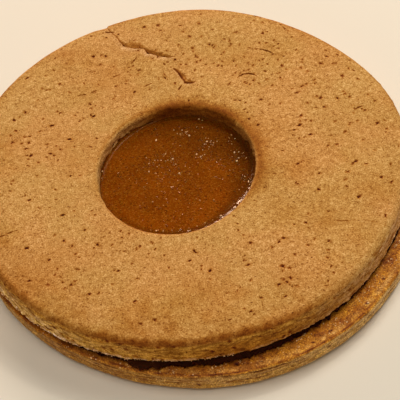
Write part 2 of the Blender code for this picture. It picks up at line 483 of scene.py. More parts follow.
@dataclass(frozen=True)
class Crack:
    """A crack that was baked into a face, in millimetres from the disc's middle.

    Each place of the path has its share of the width. To the left of the path the crack slopes
    down gently, to the right it is steep.
    """

    path: Path
    slope: float
    steep: float
    depth: float
    breaks: float = 0.0
    lip_width: float = 0.60
    line_width: float = 0.34
    # How strong the painted shade in the crack and the painted highlight on its lip are.
    shade_strength: float = 1.0
    pale: float = 0.55
    spacing: float = 0.3
    thinnest: float = 0.02

    def places(self, height: float) -> list[Vector]:
        """Places along the path, at a height, close enough to find the points round it."""
        found = []
        for (x0, y0, _), (x1, y1, _) in zip(self.path, self.path[1:]):
            count = max(1, math.ceil(math.hypot(x1 - x0, y1 - y0) / self.spacing))
            for share in (step / count for step in range(count + 1)):
                x, y = x0 + (x1 - x0) * share, y0 + (y1 - y0) * share
                found.append(Vector((x * MM, y * MM, height)))
        return found

    def nearest(self, point: Vector) -> tuple[float, float]:
        """How far a point is from the path and how wide the crack is there.

        Args:
            point: A point of the face.

        Returns:
            The distance, above zero to the left of the path, and the share of the width.
        """
        best = (math.inf, 0.0)
        for (x0, y0, w0), (x1, y1, w1) in zip(self.path, self.path[1:]):
            run_x, run_y, away_x, away_y = x1 - x0, y1 - y0, point.x / MM - x0, point.y / MM - y0
            share = limited((away_x * run_x + away_y * run_y) / (run_x ** 2 + run_y ** 2))
            distance = math.hypot(away_x - run_x * share, away_y - run_y * share)
            if distance < abs(best[0]):
                left = run_x * away_y > run_y * away_x
                best = (distance if left else -distance, w0 + (w1 - w0) * share)
        return best

    def sink_and_shade(self, point: Vector) -> CrackSinkAndShade:
        """How much the crack sinks a point of the face, with painted shade and a painted highlight."""
        distance, width = self.nearest(point)
        distance += 0.09 * ripple(point, 0.55, 3.3)
        width *= max(0.4, 1 + ripples(point, (0.5, 0.7, 5.1), (0.3, 2.3, 8.3)))
        if self.breaks:
            width *= ease(ripple(point, self.breaks, 2.7), -0.35, 0.10)
        if width <= self.thinnest:
            return CrackSinkAndShade()
        away, strength = abs(distance), min(1.0, width)
        reach = (self.slope if distance > 0 else self.steep) * width
        close = max(0.0, 1 - away / reach)
        line = max(0.0, 1 - away / (self.line_width * (0.5 + 0.5 * strength)))
        lip = limited(1 - (away - reach) / self.lip_width) if -distance > reach else 0.0
        shade_strength = self.shade_strength * strength ** 0.5
        return CrackSinkAndShade(
            sink=self.depth * MM * strength * (close ** 1.5 if distance > 0 else ease(close)),
            shade=shade_strength * ease(close, 0.0, 0.45),
            line=shade_strength * ease(line, 0.0, 0.8),
            lip=self.pale * lip * strength,
        )


RIM_CRACK = Crack(
    (
        (-14.2, 46.6, 0.25), (-13.5, 43.9, 0.18), (-12.8, 42.0, 0.20), (-11.8, 40.6, 0.22),
        (-11.1, 38.8, 0.28), (-10.5, 37.6, 0.40), (-10.0, 36.7, 0.85), (-9.2, 36.3, 1.10),
        (-8.3, 35.8, 1.25), (-7.4, 35.5, 1.30), (-6.5, 35.3, 1.00), (-5.6, 35.1, 0.55),
        (-5.1, 34.1, 0.70), (-4.8, 33.2, 1.20), (-3.9, 33.0, 1.05), (-3.0, 32.3, 0.95),
        (-2.2, 31.8, 0.95), (-1.3, 31.4, 0.85), (-0.4, 31.0, 0.75), (0.5, 30.8, 0.35),
        (1.2, 30.9, 0.15),
    ),
    slope=1.45, steep=0.20, depth=0.60, lip_width=1.3, pale=0.75,
)
SHORT_CRACK = Crack(
    (
        (0.6, 27.0, 0.4), (1.1, 26.2, 0.7), (1.6, 25.3, 0.8), (2.1, 23.8, 0.9), (2.5, 22.9, 0.8),
        (2.7, 22.1, 0.8), (3.3, 22.0, 0.9), (3.9, 21.8, 1.0), (4.6, 21.8, 0.4),
    ),
    slope=1.10, steep=0.28, depth=0.40, line_width=0.44, shade_strength=0.90,
)
# A painted shadow that the notched lobe casts, drawn as a short crack with a shallow groove.
NOTCH_SHADOW = Crack(
    ((-14.0, 42.5, 0.5), (-13.4, 42.2, 0.9), (-12.8, 42.1, 1.0), (-12.1, 42.0, 0.5)),
    slope=0.40, steep=0.22, depth=0.40,
)


def hairline(width: float, depth: float, *path: tuple[float, float]) -> Crack:
    """A fine crack, thin at both ends and broken here and there."""
    last = len(path) - 1
    shares = [0.45 + 0.55 * math.sin(math.pi * index / last) for index in range(last + 1)]
    places = tuple((x, y, share) for (x, y), share in zip(path, shares))
    return Crack(places, width, width * 0.8, depth, 1.7, shade_strength=0.75, pale=0.0)


HAIRLINES = (
    hairline(0.30, 0.30, (1.7, 21.4), (1.3, 20.7), (0.9, 20.0)),
    hairline(0.34, 0.26, (-8.8, 30.7), (-8.0, 31.6), (-7.5, 32.3)),
    hairline(0.24, 0.16, (-14.8, 27.0), (-13.8, 27.0), (-12.9, 27.2), (-11.7, 27.5)),
    hairline(0.26, 0.18, (-21.4, 22.7), (-19.9, 22.8), (-18.3, 23.2), (-16.8, 23.8)),
    hairline(0.22, 0.12, (-7.6, 22.2), (-6.1, 22.8), (-4.7, 23.4)),
    hairline(0.32, 0.30, (14.3, 21.4), (15.7, 22.2), (16.9, 22.2), (17.9, 21.8), (18.6, 21.1)),
    hairline(0.34, 0.32, (19.5, 29.9), (21.4, 29.0), (23.0, 27.8), (25.5, 26.0)),
    hairline(0.22, 0.18, (28.9, -22.8), (30.8, -23.3), (32.3, -23.4), (33.6, -23.6), (36.2, -24.3)),
    hairline(0.24, 0.16, (37.8, 6.6), (39.1, 7.3), (40.6, 7.6)),
    hairline(0.30, 0.20, (-39.6, -15.1), (-37.6, -14.2), (-35.7, -13.8)),
)
CRACKS = (RIM_CRACK, SHORT_CRACK, NOTCH_SHADOW, *HAIRLINES)

# The pores that stand out most, in millimetres from the disc's middle, by their radius.
MARKED_PORES = {
    0.27: (
        (34.3, -17.6), (25.6, 4.4), (-19.4, -20.5), (2.3, -30.9), (-23.9, 9.8), (35.5, -7.9),
        (-33.9, -18.8), (16.9, 6.2), (-18.3, 15.7), (42.0, 1.9), (-32.4, 6.7), (-35.9, 18.0),
        (-26.1, -11.3), (-27.6, 14.7), (-17.3, 34.8), (16.5, -32.3), (1.1, 29.9),
    ),
    0.22: (
        (23.6, -6.4), (26.4, -27.8), (31.6, 8.7), (37.2, 17.5), (16.1, -39.4), (11, -25.4),
        (16.8, -36.2), (-8.8, 21.5), (17.8, -25.5), (-35.5, 14.6), (24.6, 23.1), (-1.6, 24.6),
        (-24.1, -0.9), (-15.7, -27.8), (-29.4, -22.6), (-32.9, -6), (-21.7, -32.5),
        (34.9, 10.9), (31.4, 11.5), (-33.3, 19.9), (-1.4, -27.7), (27.5, 1.3), (39.8, -13.2),
        (-13, -35.7), (18.6, 13.6), (-26.2, -18.2), (22.7, -22.3), (26.6, -14.1),
        (-14.5, 34.3), (-33.5, -27.1), (-28.1, 6.3), (-18.9, 19.7), (9.9, -30.8),
    ),
}
# Where the face is darker: the middle and the reach in millimetres, and how strongly.
BROWN_PATCHES = (
    (-33.5, -27, 5.5, 0.18), (-13.6, -38.4, 4.4, 0.22), (-3, -36, 4.5, 0.18),
    (4, -37.5, 4, 0.16),
    (-28.5, -35.6, 2.5, 0.08), (38.9, -16.3, 3.5, 0.20), (20, -19.5, 4, 0.20),
    (23, -8, 4, 0.20), (26.5, -23, 3.5, 0.15), (30, -16.8, 3.5, 0.16),
    (33.6, -26.2, 3.5, 0.15), (-39.1, 10.9, 4, 0.22), (-39.2, -15.4, 4, 0.22),
    (-19.3, 34.2, 4, 0.22), (-15.7, 27.3, 4, 0.20), (19.5, 4.7, 3.5, 0.15),
    (24, 27, 4, 0.15), (33.9, -6.8, 3, 0.12), (-20.8, 22.5, 3.5, 0.12),
    (-24, 36, 3.5, 0.12), (-9.2, 20.8, 3, 0.12), (-36.9, 4.3, 4, 0.14),
    (11.5, 15.6, 3, 0.10), (-22.9, 3.5, 5, 0.12), (20.1, -4.7, 5, 0.10),
    (-9.3, 28.6, 5, 0.12), (13.6, 28.9, 5, 0.12),
)
# Where small pores crowd: the middle and the spread in millimetres, and how many.
PORE_CLUSTERS = (
    (17, 21, 4.5, 26), (22, 30, 4.5, 20), (6, 38, 6, 22), (-8, 27, 5, 14), (10, 31, 4, 14),
    (-20, -24, 5, 14), (6, -34, 6, 12), (30, 6, 6, 14), (-12, -22, 3.5, 12), (32, 22, 6, 16),
    (-24, 26, 6.0, 14), (20, -28, 7.0, 9), (-30, 8, 6.0, 14),
)


class Scatter:
    """Draws small holes or bubbles on a level, alone and in clusters, in millimetres."""

    seed = 0
    single_size = cluster_size = (0.0, 0.0, 1.0)

    def __init__(self, window: Window, reach: float) -> None:
        """Keeps the window and how far from the middle single ones are drawn."""
        self.window = window
        self.reach = reach
        self.draw = random.Random(self.seed)
        self.found: list[Pore] = []

    def add(self, x: float, y: float, radius: float) -> None:
        """Adds one where there is room for it."""
        raise NotImplementedError

    def add_single(self) -> None:
        """Adds one anywhere."""
        spread = self.reach * math.sqrt(self.draw.random())
        turn = self.draw.uniform(0, math.tau)
        radius = drawn_size(self.draw, *self.single_size)
        self.add(spread * math.cos(turn), spread * math.sin(turn), radius)

    def add_clusters(self, clusters: Path) -> None:
        """Adds those that crowd: each cluster has its middle, its spread and how many."""
        for x, y, spread, count in clusters:
            for _ in range(count):
                radius = drawn_size(self.draw, *self.cluster_size)
                self.add(self.draw.gauss(x, spread) * MM, self.draw.gauss(y, spread) * MM, radius)


class PoreScatter(Scatter):
    """Draws the pores of the upper face: marked ones, single ones and loose clusters."""

    seed = 41
    single_size = (0.12, 0.09, 1.5)
    cluster_size = (0.11, 0.07, 1.0)
    window_margin = 1.0 * MM
    rim_margin = 1.3 * MM

    def add(self, x: float, y: float, radius: float) -> None:
        """Adds a pore unless it is too near the window, the rim or another pore."""
        place = Vector((x, y, Dough.thickness))
        if self.window.outside(place) < self.window_margin:
            return
        if math.hypot(x, y) > self.reach - self.rim_margin:
            return
        if any((place - other.place).length < 1.5 * radius + other.radius for other in self.found):
            return
        stretch = 1 + 1.1 * self.draw.random() ** 2
        lean = self.draw.gauss(math.radians(14), math.radians(38))
        self.found.append(Pore(place, radius, stretch, lean, radius * self.draw.uniform(0.6, 1.0)))

    def run(self, singles: int) -> list[Pore]:
        """Draws all pores.

        Args:
            singles: How many pores there are before the clusters.

        Returns:
            The pores, in the disc's own coordinates.
        """
        for radius, places in MARKED_PORES.items():
            for x, y in places:
                self.add(x * MM, y * MM, radius * MM)
        while len(self.found) < singles:
            self.add_single()
        self.add_clusters(PORE_CLUSTERS)
        return self.found


class Graph:
    """A small helper that adds and links nodes in one tree."""

    def __init__(self, tree: bpy.types.NodeTree) -> None:
        """Keeps the tree that the nodes go in."""
        self.tree = tree

    def feed(self, node: bpy.types.Node, inputs: dict[str | int, object]) -> None:
        """Links an output to each given input of a node, or sets a value or a colour on it."""
        for key, value in inputs.items():
            socket = node.inputs[key]
            if isinstance(value, Socket):
                self.tree.links.new(value, socket)
            else:
                socket.default_value = (*value, 1.0) if socket.type == "RGBA" else value

    def node(self, kind: str, inputs: dict[str | int, object] | None = None,
             **settings: object) -> bpy.types.bpy_prop_collection:
        """Adds a node, sets its own properties and feeds its inputs.

        Args:
            kind: The node's type name, without ShaderNode in front.
            inputs: The output, number or colour for each input.
            **settings: Properties of the node, such as operation.

        Returns:
            The node's outputs.
        """
        made = self.tree.nodes.new(f"ShaderNode{kind}")
        for key, value in settings.items():
            setattr(made, key, value)
        self.feed(made, inputs or {})
        return made.outputs

    def math(self, operation: str, *values: object) -> Socket:
        """The result of a maths operation on numbers or outputs."""
        return self.node("Math", dict(enumerate(values)), operation=operation)[0]

    def times(self, *values: object) -> Socket:
        """The product of two numbers or outputs."""
        return self.math("MULTIPLY", *values)

    def remap(self, value: object, low: float, high: float) -> Socket:
        """Eases from 0 to 1 as value goes from low to high."""
        inputs = {"Value": value, "From Min": low, "From Max": high}
        return self.node("MapRange", inputs, interpolation_type="SMOOTHSTEP")["Result"]

    def mix(self, factor: object, first: object, second: object, blend: str = "MIX") -> Socket:
        """A mix of two colours by a factor."""
        inputs = {"Factor": factor, "A": first, "B": second}
        return self.node("Mix", inputs, data_type="RGBA", blend_type=blend)["Result"]

    def deepen(self, tone: object, shade: Colour, strength: object) -> Socket:
        """Darkens a tone by a shade as often as the strength says, as browning does."""
        power = self.node("Gamma", {"Color": shade, "Gamma": strength})["Color"]
        return self.mix(1.0, tone, power, "MULTIPLY")

    def place(self, stretch: tuple[float, float, float] = (1, 1, 1), lean: float = 0.0) -> Socket:
        """The object's own coordinates, stretched and turned about Z by degrees."""
        inputs = {"Vector": self.node("TexCoord")["Object"], "Scale": stretch}
        inputs["Rotation"] = (0.0, 0.0, math.radians(lean))
        return self.node("Mapping", inputs)["Vector"]

    def noise(self, place: Socket, size: object, detail: float, rough: float = 0.5) -> Socket:
        """Noise from 0 to 1 with rises about a size apart."""
        inputs = {"Vector": place, "Scale": self.math("DIVIDE", 1.0, size)}
        return self.node("TexNoise", {**inputs, "Detail": detail, "Roughness": rough})["Fac"]

    def specks(self, place: Socket, size: object, rare: float, radius: float) -> Socket:
        """Soft dots in some of the cells of a pattern.

        Args:
            place: Where the pattern is read.
            size: How far apart the cells are.
            rare: The share of the cells that stays empty.
            radius: The dots' radius, as a share of the cell.

        Returns:
            1 in the middle of a dot, 0 outside it.
        """
        inputs = {"Vector": place, "Scale": self.math("DIVIDE", 1.0, size)}
        cells = self.node("TexVoronoi", inputs)
        tone = self.node("SeparateColor", {"Color": cells["Color"]})["Red"]
        chosen = self.remap(tone, rare, rare + 0.6 * (1 - rare))
        return self.times(chosen, self.remap(cells["Distance"], radius, radius * 0.35))

    def attribute(self, mask: Mask) -> Socket:
        """A mask that is stored on the mesh's points."""
        return self.node("Attribute", attribute_name=mask.value)["Fac"]

    def bump(self, height: Socket, distance: float, strength: float = 1.0) -> Socket:
        """The normal of a surface with fine relief."""
        inputs = {"Height": height, "Distance": distance, "Strength": strength}
        return self.node("Bump", inputs)["Normal"]


def new_material(name: str) -> tuple[bpy.types.Material, Graph, bpy.types.Node]:
    """A new material, with the graph of its nodes and its shader."""
    material = bpy.data.materials.new(name)
    material.use_nodes = True
    return material, Graph(material.node_tree), material.node_tree.nodes["Principled BSDF"]


def sandy_crumb_group() -> bpy.types.ShaderNodeTree:
    """Builds the sandy crumb of baked dough: grains, specks, patches, layers and relief.

    Returns:
        A group with Grain Size and Patch Size inputs, and mask and height outputs.
    """
    tree = bpy.data.node_groups.new("sandy_crumb", "ShaderNodeTree")
    for name, size in (("Grain Size", 0.3 * MM), ("Patch Size", 9 * MM)):
        socket = tree.interface.new_socket(name, in_out="INPUT", socket_type="NodeSocketFloat")
        socket.default_value = size
    graph = Graph(tree)
    inputs = tree.nodes.new("NodeGroupInput").outputs
    grain, patch = inputs["Grain Size"], inputs["Patch Size"]
    place = graph.place()
    fine = graph.noise(place, grain, 2.0, 0.7)
    coarse = graph.noise(place, graph.times(grain, 3.2), 2.0, 0.6)
    mixed = graph.math("ADD", graph.times(fine, 0.68), graph.times(coarse, 0.32))
    specks = graph.specks(graph.place((1.0, 1.9, 1.0), -14), graph.times(grain, 4.6), 0.62, 0.20)
    tiny = graph.specks(graph.place((1.0, 1.5, 1.0), 25), graph.times(grain, 2.4), 0.60, 0.24)
    broad = graph.noise(place, patch, 4.0, 0.6)
    hue = graph.noise(graph.place((1.0, 1.0, 1.0), 70), graph.times(patch, 1.7), 3.0, 0.55)
    streaks = graph.noise(graph.place((0.30, 0.30, 1.0)), graph.times(grain, 2.1), 3.0, 0.65)
    results = {
        "Light Grains": graph.remap(mixed, 0.505, 0.66),
        "Dark Grains": graph.remap(mixed, 0.495, 0.34),
        "Specks": graph.math("MAXIMUM", specks, graph.times(tiny, 0.7)),
        "Patches": graph.remap(broad, 0.36, 0.66),
        "Hue": graph.remap(hue, 0.38, 0.64),
        "Layers": graph.remap(streaks, 0.36, 0.64),
        "Height": graph.math("SUBTRACT", mixed, graph.times(specks, 0.30)),
    }
    outputs = tree.nodes.new("NodeGroupOutput")
    for name, result in results.items():
        tree.interface.new_socket(name, in_out="OUTPUT", socket_type="NodeSocketFloat")
        graph.feed(outputs, {name: result})
    return tree


@dataclass(frozen=True)
class BakedFinish:
    """Colours and relief of baked dough. Colours are linear, and shades are factors on them."""

    name: str
    base: Colour
    patch: Colour
    wall_dark: Colour
    wall_light: Colour
    pale: Colour
    # The colour that toasting and painted shade darken towards.
    toast_and_shade_tint: Colour = (0.42, 0.215, 0.045)
    pit_shade: Colour = (0.16, 0.038, 0.0024)
    light_shade: Colour = (1.50, 1.80, 2.60)
    dark_shade: Colour = (0.46, 0.30, 0.085)
    speck_shade: Colour = (0.36, 0.18, 0.03)
    rosy_shade: Colour = (1.03, 0.94, 0.95)
    grain: float = 0.30 * MM
    patch_size: float = 9 * MM
    bump: float = 0.035 * MM
    specular: float = 0.12
    roughness: float = 0.82
    glint: float = -0.10

    def material(self, crumb: bpy.types.ShaderNodeTree) -> bpy.types.Material:
        """Builds the material.

        Args:
            crumb: The sandy crumb group.

        Returns:
            The material, which reads on the mesh the masks for toasting with painted shade, pale, pit
            and wall.
        """
        material, graph, shader = new_material(self.name)
        sizes = {"Grain Size": self.grain, "Patch Size": self.patch_size}
        masks = graph.node("Group", sizes, node_tree=crumb)
        tone = graph.mix(graph.times(masks["Patches"], 0.6), self.base, self.patch)
        tone = graph.mix(masks["Hue"], tone, self.rosy_shade, "MULTIPLY")
        wall = graph.mix(masks["Layers"], self.wall_dark, self.wall_light)
        tone = graph.mix(graph.attribute(Mask.WALL), tone, wall)
        tone = graph.mix(graph.attribute(Mask.PALE), tone, self.pale)
        # Toasting and painted shade, uneven over the face.
        uneven_toast_and_shade = graph.math("ADD", 0.70, graph.times(masks["Patches"], 0.45))
        toast = graph.times(graph.attribute(Mask.TOAST), uneven_toast_and_shade)
        tone = graph.deepen(tone, self.toast_and_shade_tint, toast)
        for grains, shade in (
            ("Light Grains", self.light_shade),
            ("Dark Grains", self.dark_shade),
            ("Specks", self.speck_shade),
        ):
            tone = graph.mix(masks[grains], tone, shade, "MULTIPLY")
        gloss = graph.times(masks["Light Grains"], self.glint)
        graph.feed(shader, {
            "Base Color": graph.deepen(tone, self.pit_shade, graph.attribute(Mask.PIT)),
            "Roughness": graph.math("ADD", self.roughness, gloss),
            "Specular IOR Level": self.specular,
            "Normal": graph.bump(masks["Height"], self.bump),
        })
        return material


@dataclass(frozen=True)
class JamFinish:
    """Amber jam: a deep see-through body that is clear brown, with paler bubbles in it."""

    name: str = "amber_jam_gloss"
    body: Colour = (0.238, 0.054, 0.0006)
    deep: Colour = (0.190, 0.041, 0.0004)
    # Nearly black: painted shade near the window wall, in the gap and round the bubbles, and the dark
    # flecks of the jam.
    rim: Colour = (0.014, 0.0010, 0.0001)
    bubble: Colour = (0.48, 0.20, 0.022)
    thin: Colour = (0.46, 0.165, 0.022)
    sheen: Colour = (1.0, 0.74, 0.52)
    glow: float = 1.3 * MM
    scatter: Colour = (1.0, 0.30, 0.06)

    def material(self) -> bpy.types.Material:
        """Builds the material, which reads the masks bubble, thin and edge on the mesh; edge is
        painted shade.

        Returns:
            The material.
        """
        material, graph, shader = new_material(self.name)
        clouds = graph.remap(graph.noise(graph.place(), 8.0 * MM, 2.0), 0.30, 0.70)
        pulp = graph.remap(graph.noise(graph.place(), 0.36 * MM, 3.0, 0.75), 0.48, 0.68)
        motes = graph.specks(graph.place((1.0, 1.5, 1.0), -30), 0.62 * MM, 0.45, 0.30)
        dark_flecks = graph.noise(graph.place((1.0, 1.7, 1.0), 20), 0.42 * MM, 2.0, 0.7)
        skin, edge = graph.attribute(Mask.BUBBLE), graph.attribute(Mask.EDGE)
        # A ring of painted shade round the foot of each bubble.
        ring = graph.times(graph.remap(skin, 0.0, 0.25), graph.remap(skin, 0.60, 0.30))
        tone = graph.mix(clouds, self.deep, self.body)
        for mask, strength, colour in (
            (pulp, 0.50, self.bubble),
            (graph.remap(dark_flecks, 0.47, 0.27), 0.90, self.rim),
            (motes, 0.42, self.bubble),
            (ring, 0.85, self.rim),
            (graph.remap(skin, 0.4, 0.9), 0.25, self.bubble),
            (graph.attribute(Mask.THIN), 1.0, self.thin),
            (edge, 1.0, self.rim),
        ):
            tone = graph.mix(graph.times(mask, strength), tone, colour)
        dull = graph.times(graph.remap(edge, 0.75, 0.95), 0.75)
        rough = graph.math("ADD", 0.07, graph.times(pulp, 0.08))
        graph.feed(shader, {
            "Base Color": tone,
            "Roughness": graph.math("ADD", rough, dull),
            "IOR": 1.42,
            "Specular IOR Level": 0.17,
            "Specular Tint": self.sheen,
            "Subsurface Weight": 0.8,
            "Subsurface Radius": self.scatter,
            "Subsurface Scale": self.glow,
            "Normal": graph.bump(pulp, 0.020 * MM, 0.6),
        })
        return material


@dataclass(frozen=True)
class SugarFinish:
    """Small grains of half melted sugar, pale amber and glossy."""

    name: str = "sugar_grain_gloss"
    clear: Colour = (0.95, 0.68, 0.38)
    brown: Colour = (0.60, 0.31, 0.09)
    sheen: Colour = (1.0, 0.80, 0.60)

    def material(self) -> bpy.types.Material:
        """Builds the material: clear and brown grains, each a little uneven."""
        material, graph, shader = new_material(self.name)
        clear = graph.remap(graph.noise(graph.place(), 1.1 * MM, 2.0), 0.40, 0.62)
        melt = graph.times(graph.noise(graph.place(), 0.2 * MM, 1.0), 0.25)
        graph.feed(shader, {
            "Base Color": graph.mix(clear, self.brown, self.clear),
            "Roughness": graph.math("ADD", 0.06, melt),
            "IOR": 1.55,
            "Specular Tint": self.sheen,
        })
        return material


FACE_FINISH = BakedFinish(
    name="golden_sandy_face",
    base=(0.531, 0.296, 0.087),
    patch=(0.466, 0.242, 0.060),
    wall_dark=(0.280, 0.106, 0.006),
    wall_light=(0.650, 0.325, 0.048),
    pale=(0.660, 0.385, 0.180),
)
BASE_FINISH = BakedFinish(
    name="browned_tray_side",
    base=(0.485, 0.194, 0.013),
    patch=(0.372, 0.126, 0.007),
    wall_dark=(0.385, 0.165, 0.015),
    wall_light=(0.700, 0.385, 0.068),
    pale=(0.740, 0.450, 0.160),
    toast_and_shade_tint=(0.36, 0.19, 0.05),
    pit_shade=(0.11, 0.030, 0.005),
    light_shade=(1.95, 2.50, 3.30),
    dark_shade=(0.31, 0.18, 0.045),
    grain=0.31 * MM,
    patch_size=5 * MM,
    bump=0.13 * MM,
    specular=0.18,
    roughness=0.58,
    glint=-0.32,
)


def bake(work: Skin, relief: Callable[[Point], Vector],
         masks: Callable[[Point], dict[Mask, float]]) -> Layers:
    """Moves all points of a disc by its relief and stores its masks.

    Args:
        work: The disc's skin.
        relief: Gives a point's movement.
        masks: Gives the number for each mask at a point that hasn't moved yet.

    Returns:
        The layers that hold the masks.
    """
    layers = mask_layers(work, Mask.TOAST, Mask.PALE, Mask.PIT, Mask.WALL)
    work.normal_update()
    moves = [relief(vert) for vert in work.verts]
    for vert, move in zip(work.verts, moves):
        for mask, value in masks(vert).items():
            vert[layers[mask]] = value
        vert.co += move
    return layers


@dataclass
class UpperBiscuit:
    """The windowed disc, right way up."""

    stack: Stack
    dough: Dough = Dough()
    window: Window = Window()
    segments: int = 500
    pores: int = 250
    face_spacing: float = 0.50 * MM
    wall_spacing: float = 0.26 * MM
    hidden_spacing: float = 4.0 * MM
    # How strong the brown line round the shoulder is, by direction: partly toasting, partly painted
    # shade, strongest at the front.
    crust_and_shade_strength: Round = Round(
        (-180, 0.4), (-150, 0.42), (-130, 0.55), (-115, 0.9), (-75, 0.9), (-66, 0.52),
        (-57, 0.22), (-46, 0.02), (0, 0.05), (60, 0.42), (130, 0.45), (180, 0.4),
    )
    crust_shift: Round = Round(
        (-180, 0.4), (-150, 0.45), (-130, 0.2), (-115, 0), (120, 0), (180, 0.4),
    )
    # How much of the wall's own tone shows: little on the right, where the paler face tone stands in
    # as painted light.
    wall_brown: Round = Round(
        (-180, 1), (-72, 1), (-60, 0.65), (-50, 0.25), (-30, 0.1), (10, 0.1), (60, 0.6),
        (180, 1),
    )
    # Below 0 painted light makes the foot paler on the left; above 0 the foot is darker low at the
    # front.
    foot_toast_and_light: Round = Round(
        (-180, -0.1), (-160, -0.3), (-124, -0.3), (-112, -0.05), (-95, 0.12), (-87, 0.48),
        (-72, 0.36), (-60, 0.12), (-50, 0.1), (-40, 0.1), (-20, 0.05), (60, 0), (180, 0),
    )
    # Paler crumb at the foot, with painted light on its right side.
    foot_pale_and_lit: Round = Round(
        (-180, 0.5), (-150, 0.38), (-130, 0.2), (-115, 0.08), (-95, 0), (-70, 0.05), (-60, 0.3),
        (-50, 0.6), (-40, 0.9), (-20, 0.95), (0, 0.8), (60, 0.3), (180, 0.5),
    )
    undercut: Round = Round(
        (-180, 0), (-72, 0), (-62, 0.1), (-52, 0.16), (-42, 0.1), (-28, 0), (180, 0),
    )
    # How dark the window's wall is, by direction; behind the window this is partly painted shade.
    lip_wall: Round = Round(
        (-180, 0.1), (-150, 0.15), (-120, 0.3), (-60, 0.35), (-30, 0.3), (0, 0.25), (30, 0.5),
        (60, 0.95), (95, 1.05), (115, 0.2), (130, 0), (180, 0),
    )
    lip_depth: Round = Round(
        (-180, 0.15), (-150, 0), (-65, 0), (-45, 0.35), (-20, 0.85), (10, 1), (45, 0.95),
        (95, 0.85), (118, 0.5), (150, 0.2), (180, 0.12),
    )
    lip_reach: Round = Round(
        (-180, 0.3), (-60, 0.3), (-40, 0.9), (-10, 1.35), (20, 1.45), (60, 1.1), (95, 0.95),
        (118, 0.6), (150, 0.4), (180, 0.3),
    )
    notch_direction: float = math.radians(107.2)
    notch_inset: float = 0.65 * MM
    notch_spread: float = math.radians(3.4)
    face_relief: Path = ((0.050, 5.5, 1.3), (0.038, 2.1, 2.9), (0.034, 1.05, 4.4))
    foot_band: float = 1.1 * MM

    def profile(self) -> Profile:
        """Closed outline: window wall, top face, rim and underside."""
        dough = self.dough
        rounding = dough.window_rounding
        centre = (self.window.radius + rounding, dough.thickness - rounding)
        rim = dough.rim_profile()
        return joined(
            ([(self.window.radius, dough.thickness * 0.3), *arc(centre, rounding, 180, 90)],
             self.wall_spacing),
            (rim[:1], self.face_spacing),
            (rim[1:], self.wall_spacing),
            ([(self.window.radius, 0.0)], self.hidden_spacing),
        )

    def form(self, work: Skin) -> None:
        """Gives the turned skin the solid's hand-cut outline and swell, and the notched lobe."""
        dough = self.dough
        for vert in work.verts:
            placed = uneven(
                vert.co, UPPER_OUTLINE, self.window, dough.rim_roughness(vert.co, UPPER_SEED),
            )
            on_top = ease(vert.co.z / dough.thickness, 0.7, 0.95)
            spot = Vector((placed.x, placed.y, 0.0)) / dough.swell_length
            placed.z += dough.swell * on_top * noise.noise(spot + Vector((0, 0, UPPER_SEED)))
            radius, angle = polar(placed)
            beyond = angle - self.notch_direction
            if -0.1 < beyond < self.notch_spread:
                lobe = ease(beyond, -0.004, 0.004) * (1 - beyond / self.notch_spread)
                lobe *= ease(radius, dough.radius - 3.5 * MM, dough.radius - 1.0 * MM)
                placed.xy *= 1 - self.notch_inset * limited(lobe) / radius
            vert.co = placed

    def refine(self, work: Skin, pores: list[Pore]) -> None:
        """Adds points at the ragged foot, round the pores and along the cracks, in passes."""
        height = self.dough.thickness
        refine_among(work, {vert for vert in work.verts if vert.co.z < self.foot_band
                            and vert.co.xy.length > 0.93 * self.dough.radius
                            and from_direction(polar(vert.co)[1], FRONT) > 0.1})
        for spread in (2.0, 1.0, 0.4):
            spots = []
            if spread > 0.5:
                spots += [(pore.place, pore.radius * pore.stretch + 0.14 * MM * spread)
                          for pore in pores]
            for crack in CRACKS:
                wide = crack.slope if spread > 0.5 else min(crack.slope, 0.30)
                reach = (wide + 0.22 * spread) * MM
                spots += [(place, reach) for place in crack.places(height)]
            refine_near(work, spots)

    def relief(self, vert: Point) -> Vector:
        """How baking moved one point of the skin.

        Args:
            vert: The point, with its normal up to date.

        Returns:
            The movement.
        """
        point, normal = vert.co, vert.normal
        radius, angle = polar(point)
        push = ease(normal.z, 0.35, 0.9) * ripples(point, *self.face_relief)
        on_wall = ease(1 - abs(normal.z), 0.3, 0.8)
        if on_wall > 0:
            push += on_wall * (
                0.14 * layered(point, 2.6, 0.90, 6.2)
                + 0.12 * layered(point, 1.2, 0.55, 2.6)
                + 0.11 * ripple(point, 0.7, 9.1)
                - 0.10 * max(0.0, 1 - 5 * abs(layered(point, 4.0, 1.3, 3.4)))
            )
        move = normal * (push * MM)
        low = ease_mm(1.5 * MM - point.z, 0, 1.3)
        if low > 0 and radius > self.dough.radius * 0.92:
            chips = 0.7 * abs(ripple(point, 1.2, 12.5)) + 0.6 * abs(ripple(point, 0.6, 3.3))
            move -= on_circle(angle, (0.40 * chips + self.undercut(angle)) * MM * low)
            foot = ripples(point, (0.24, 1.5, 15.8), (0.168, 0.6, 5.8))
            move.z += MM * foot * low * on_wall
        return move

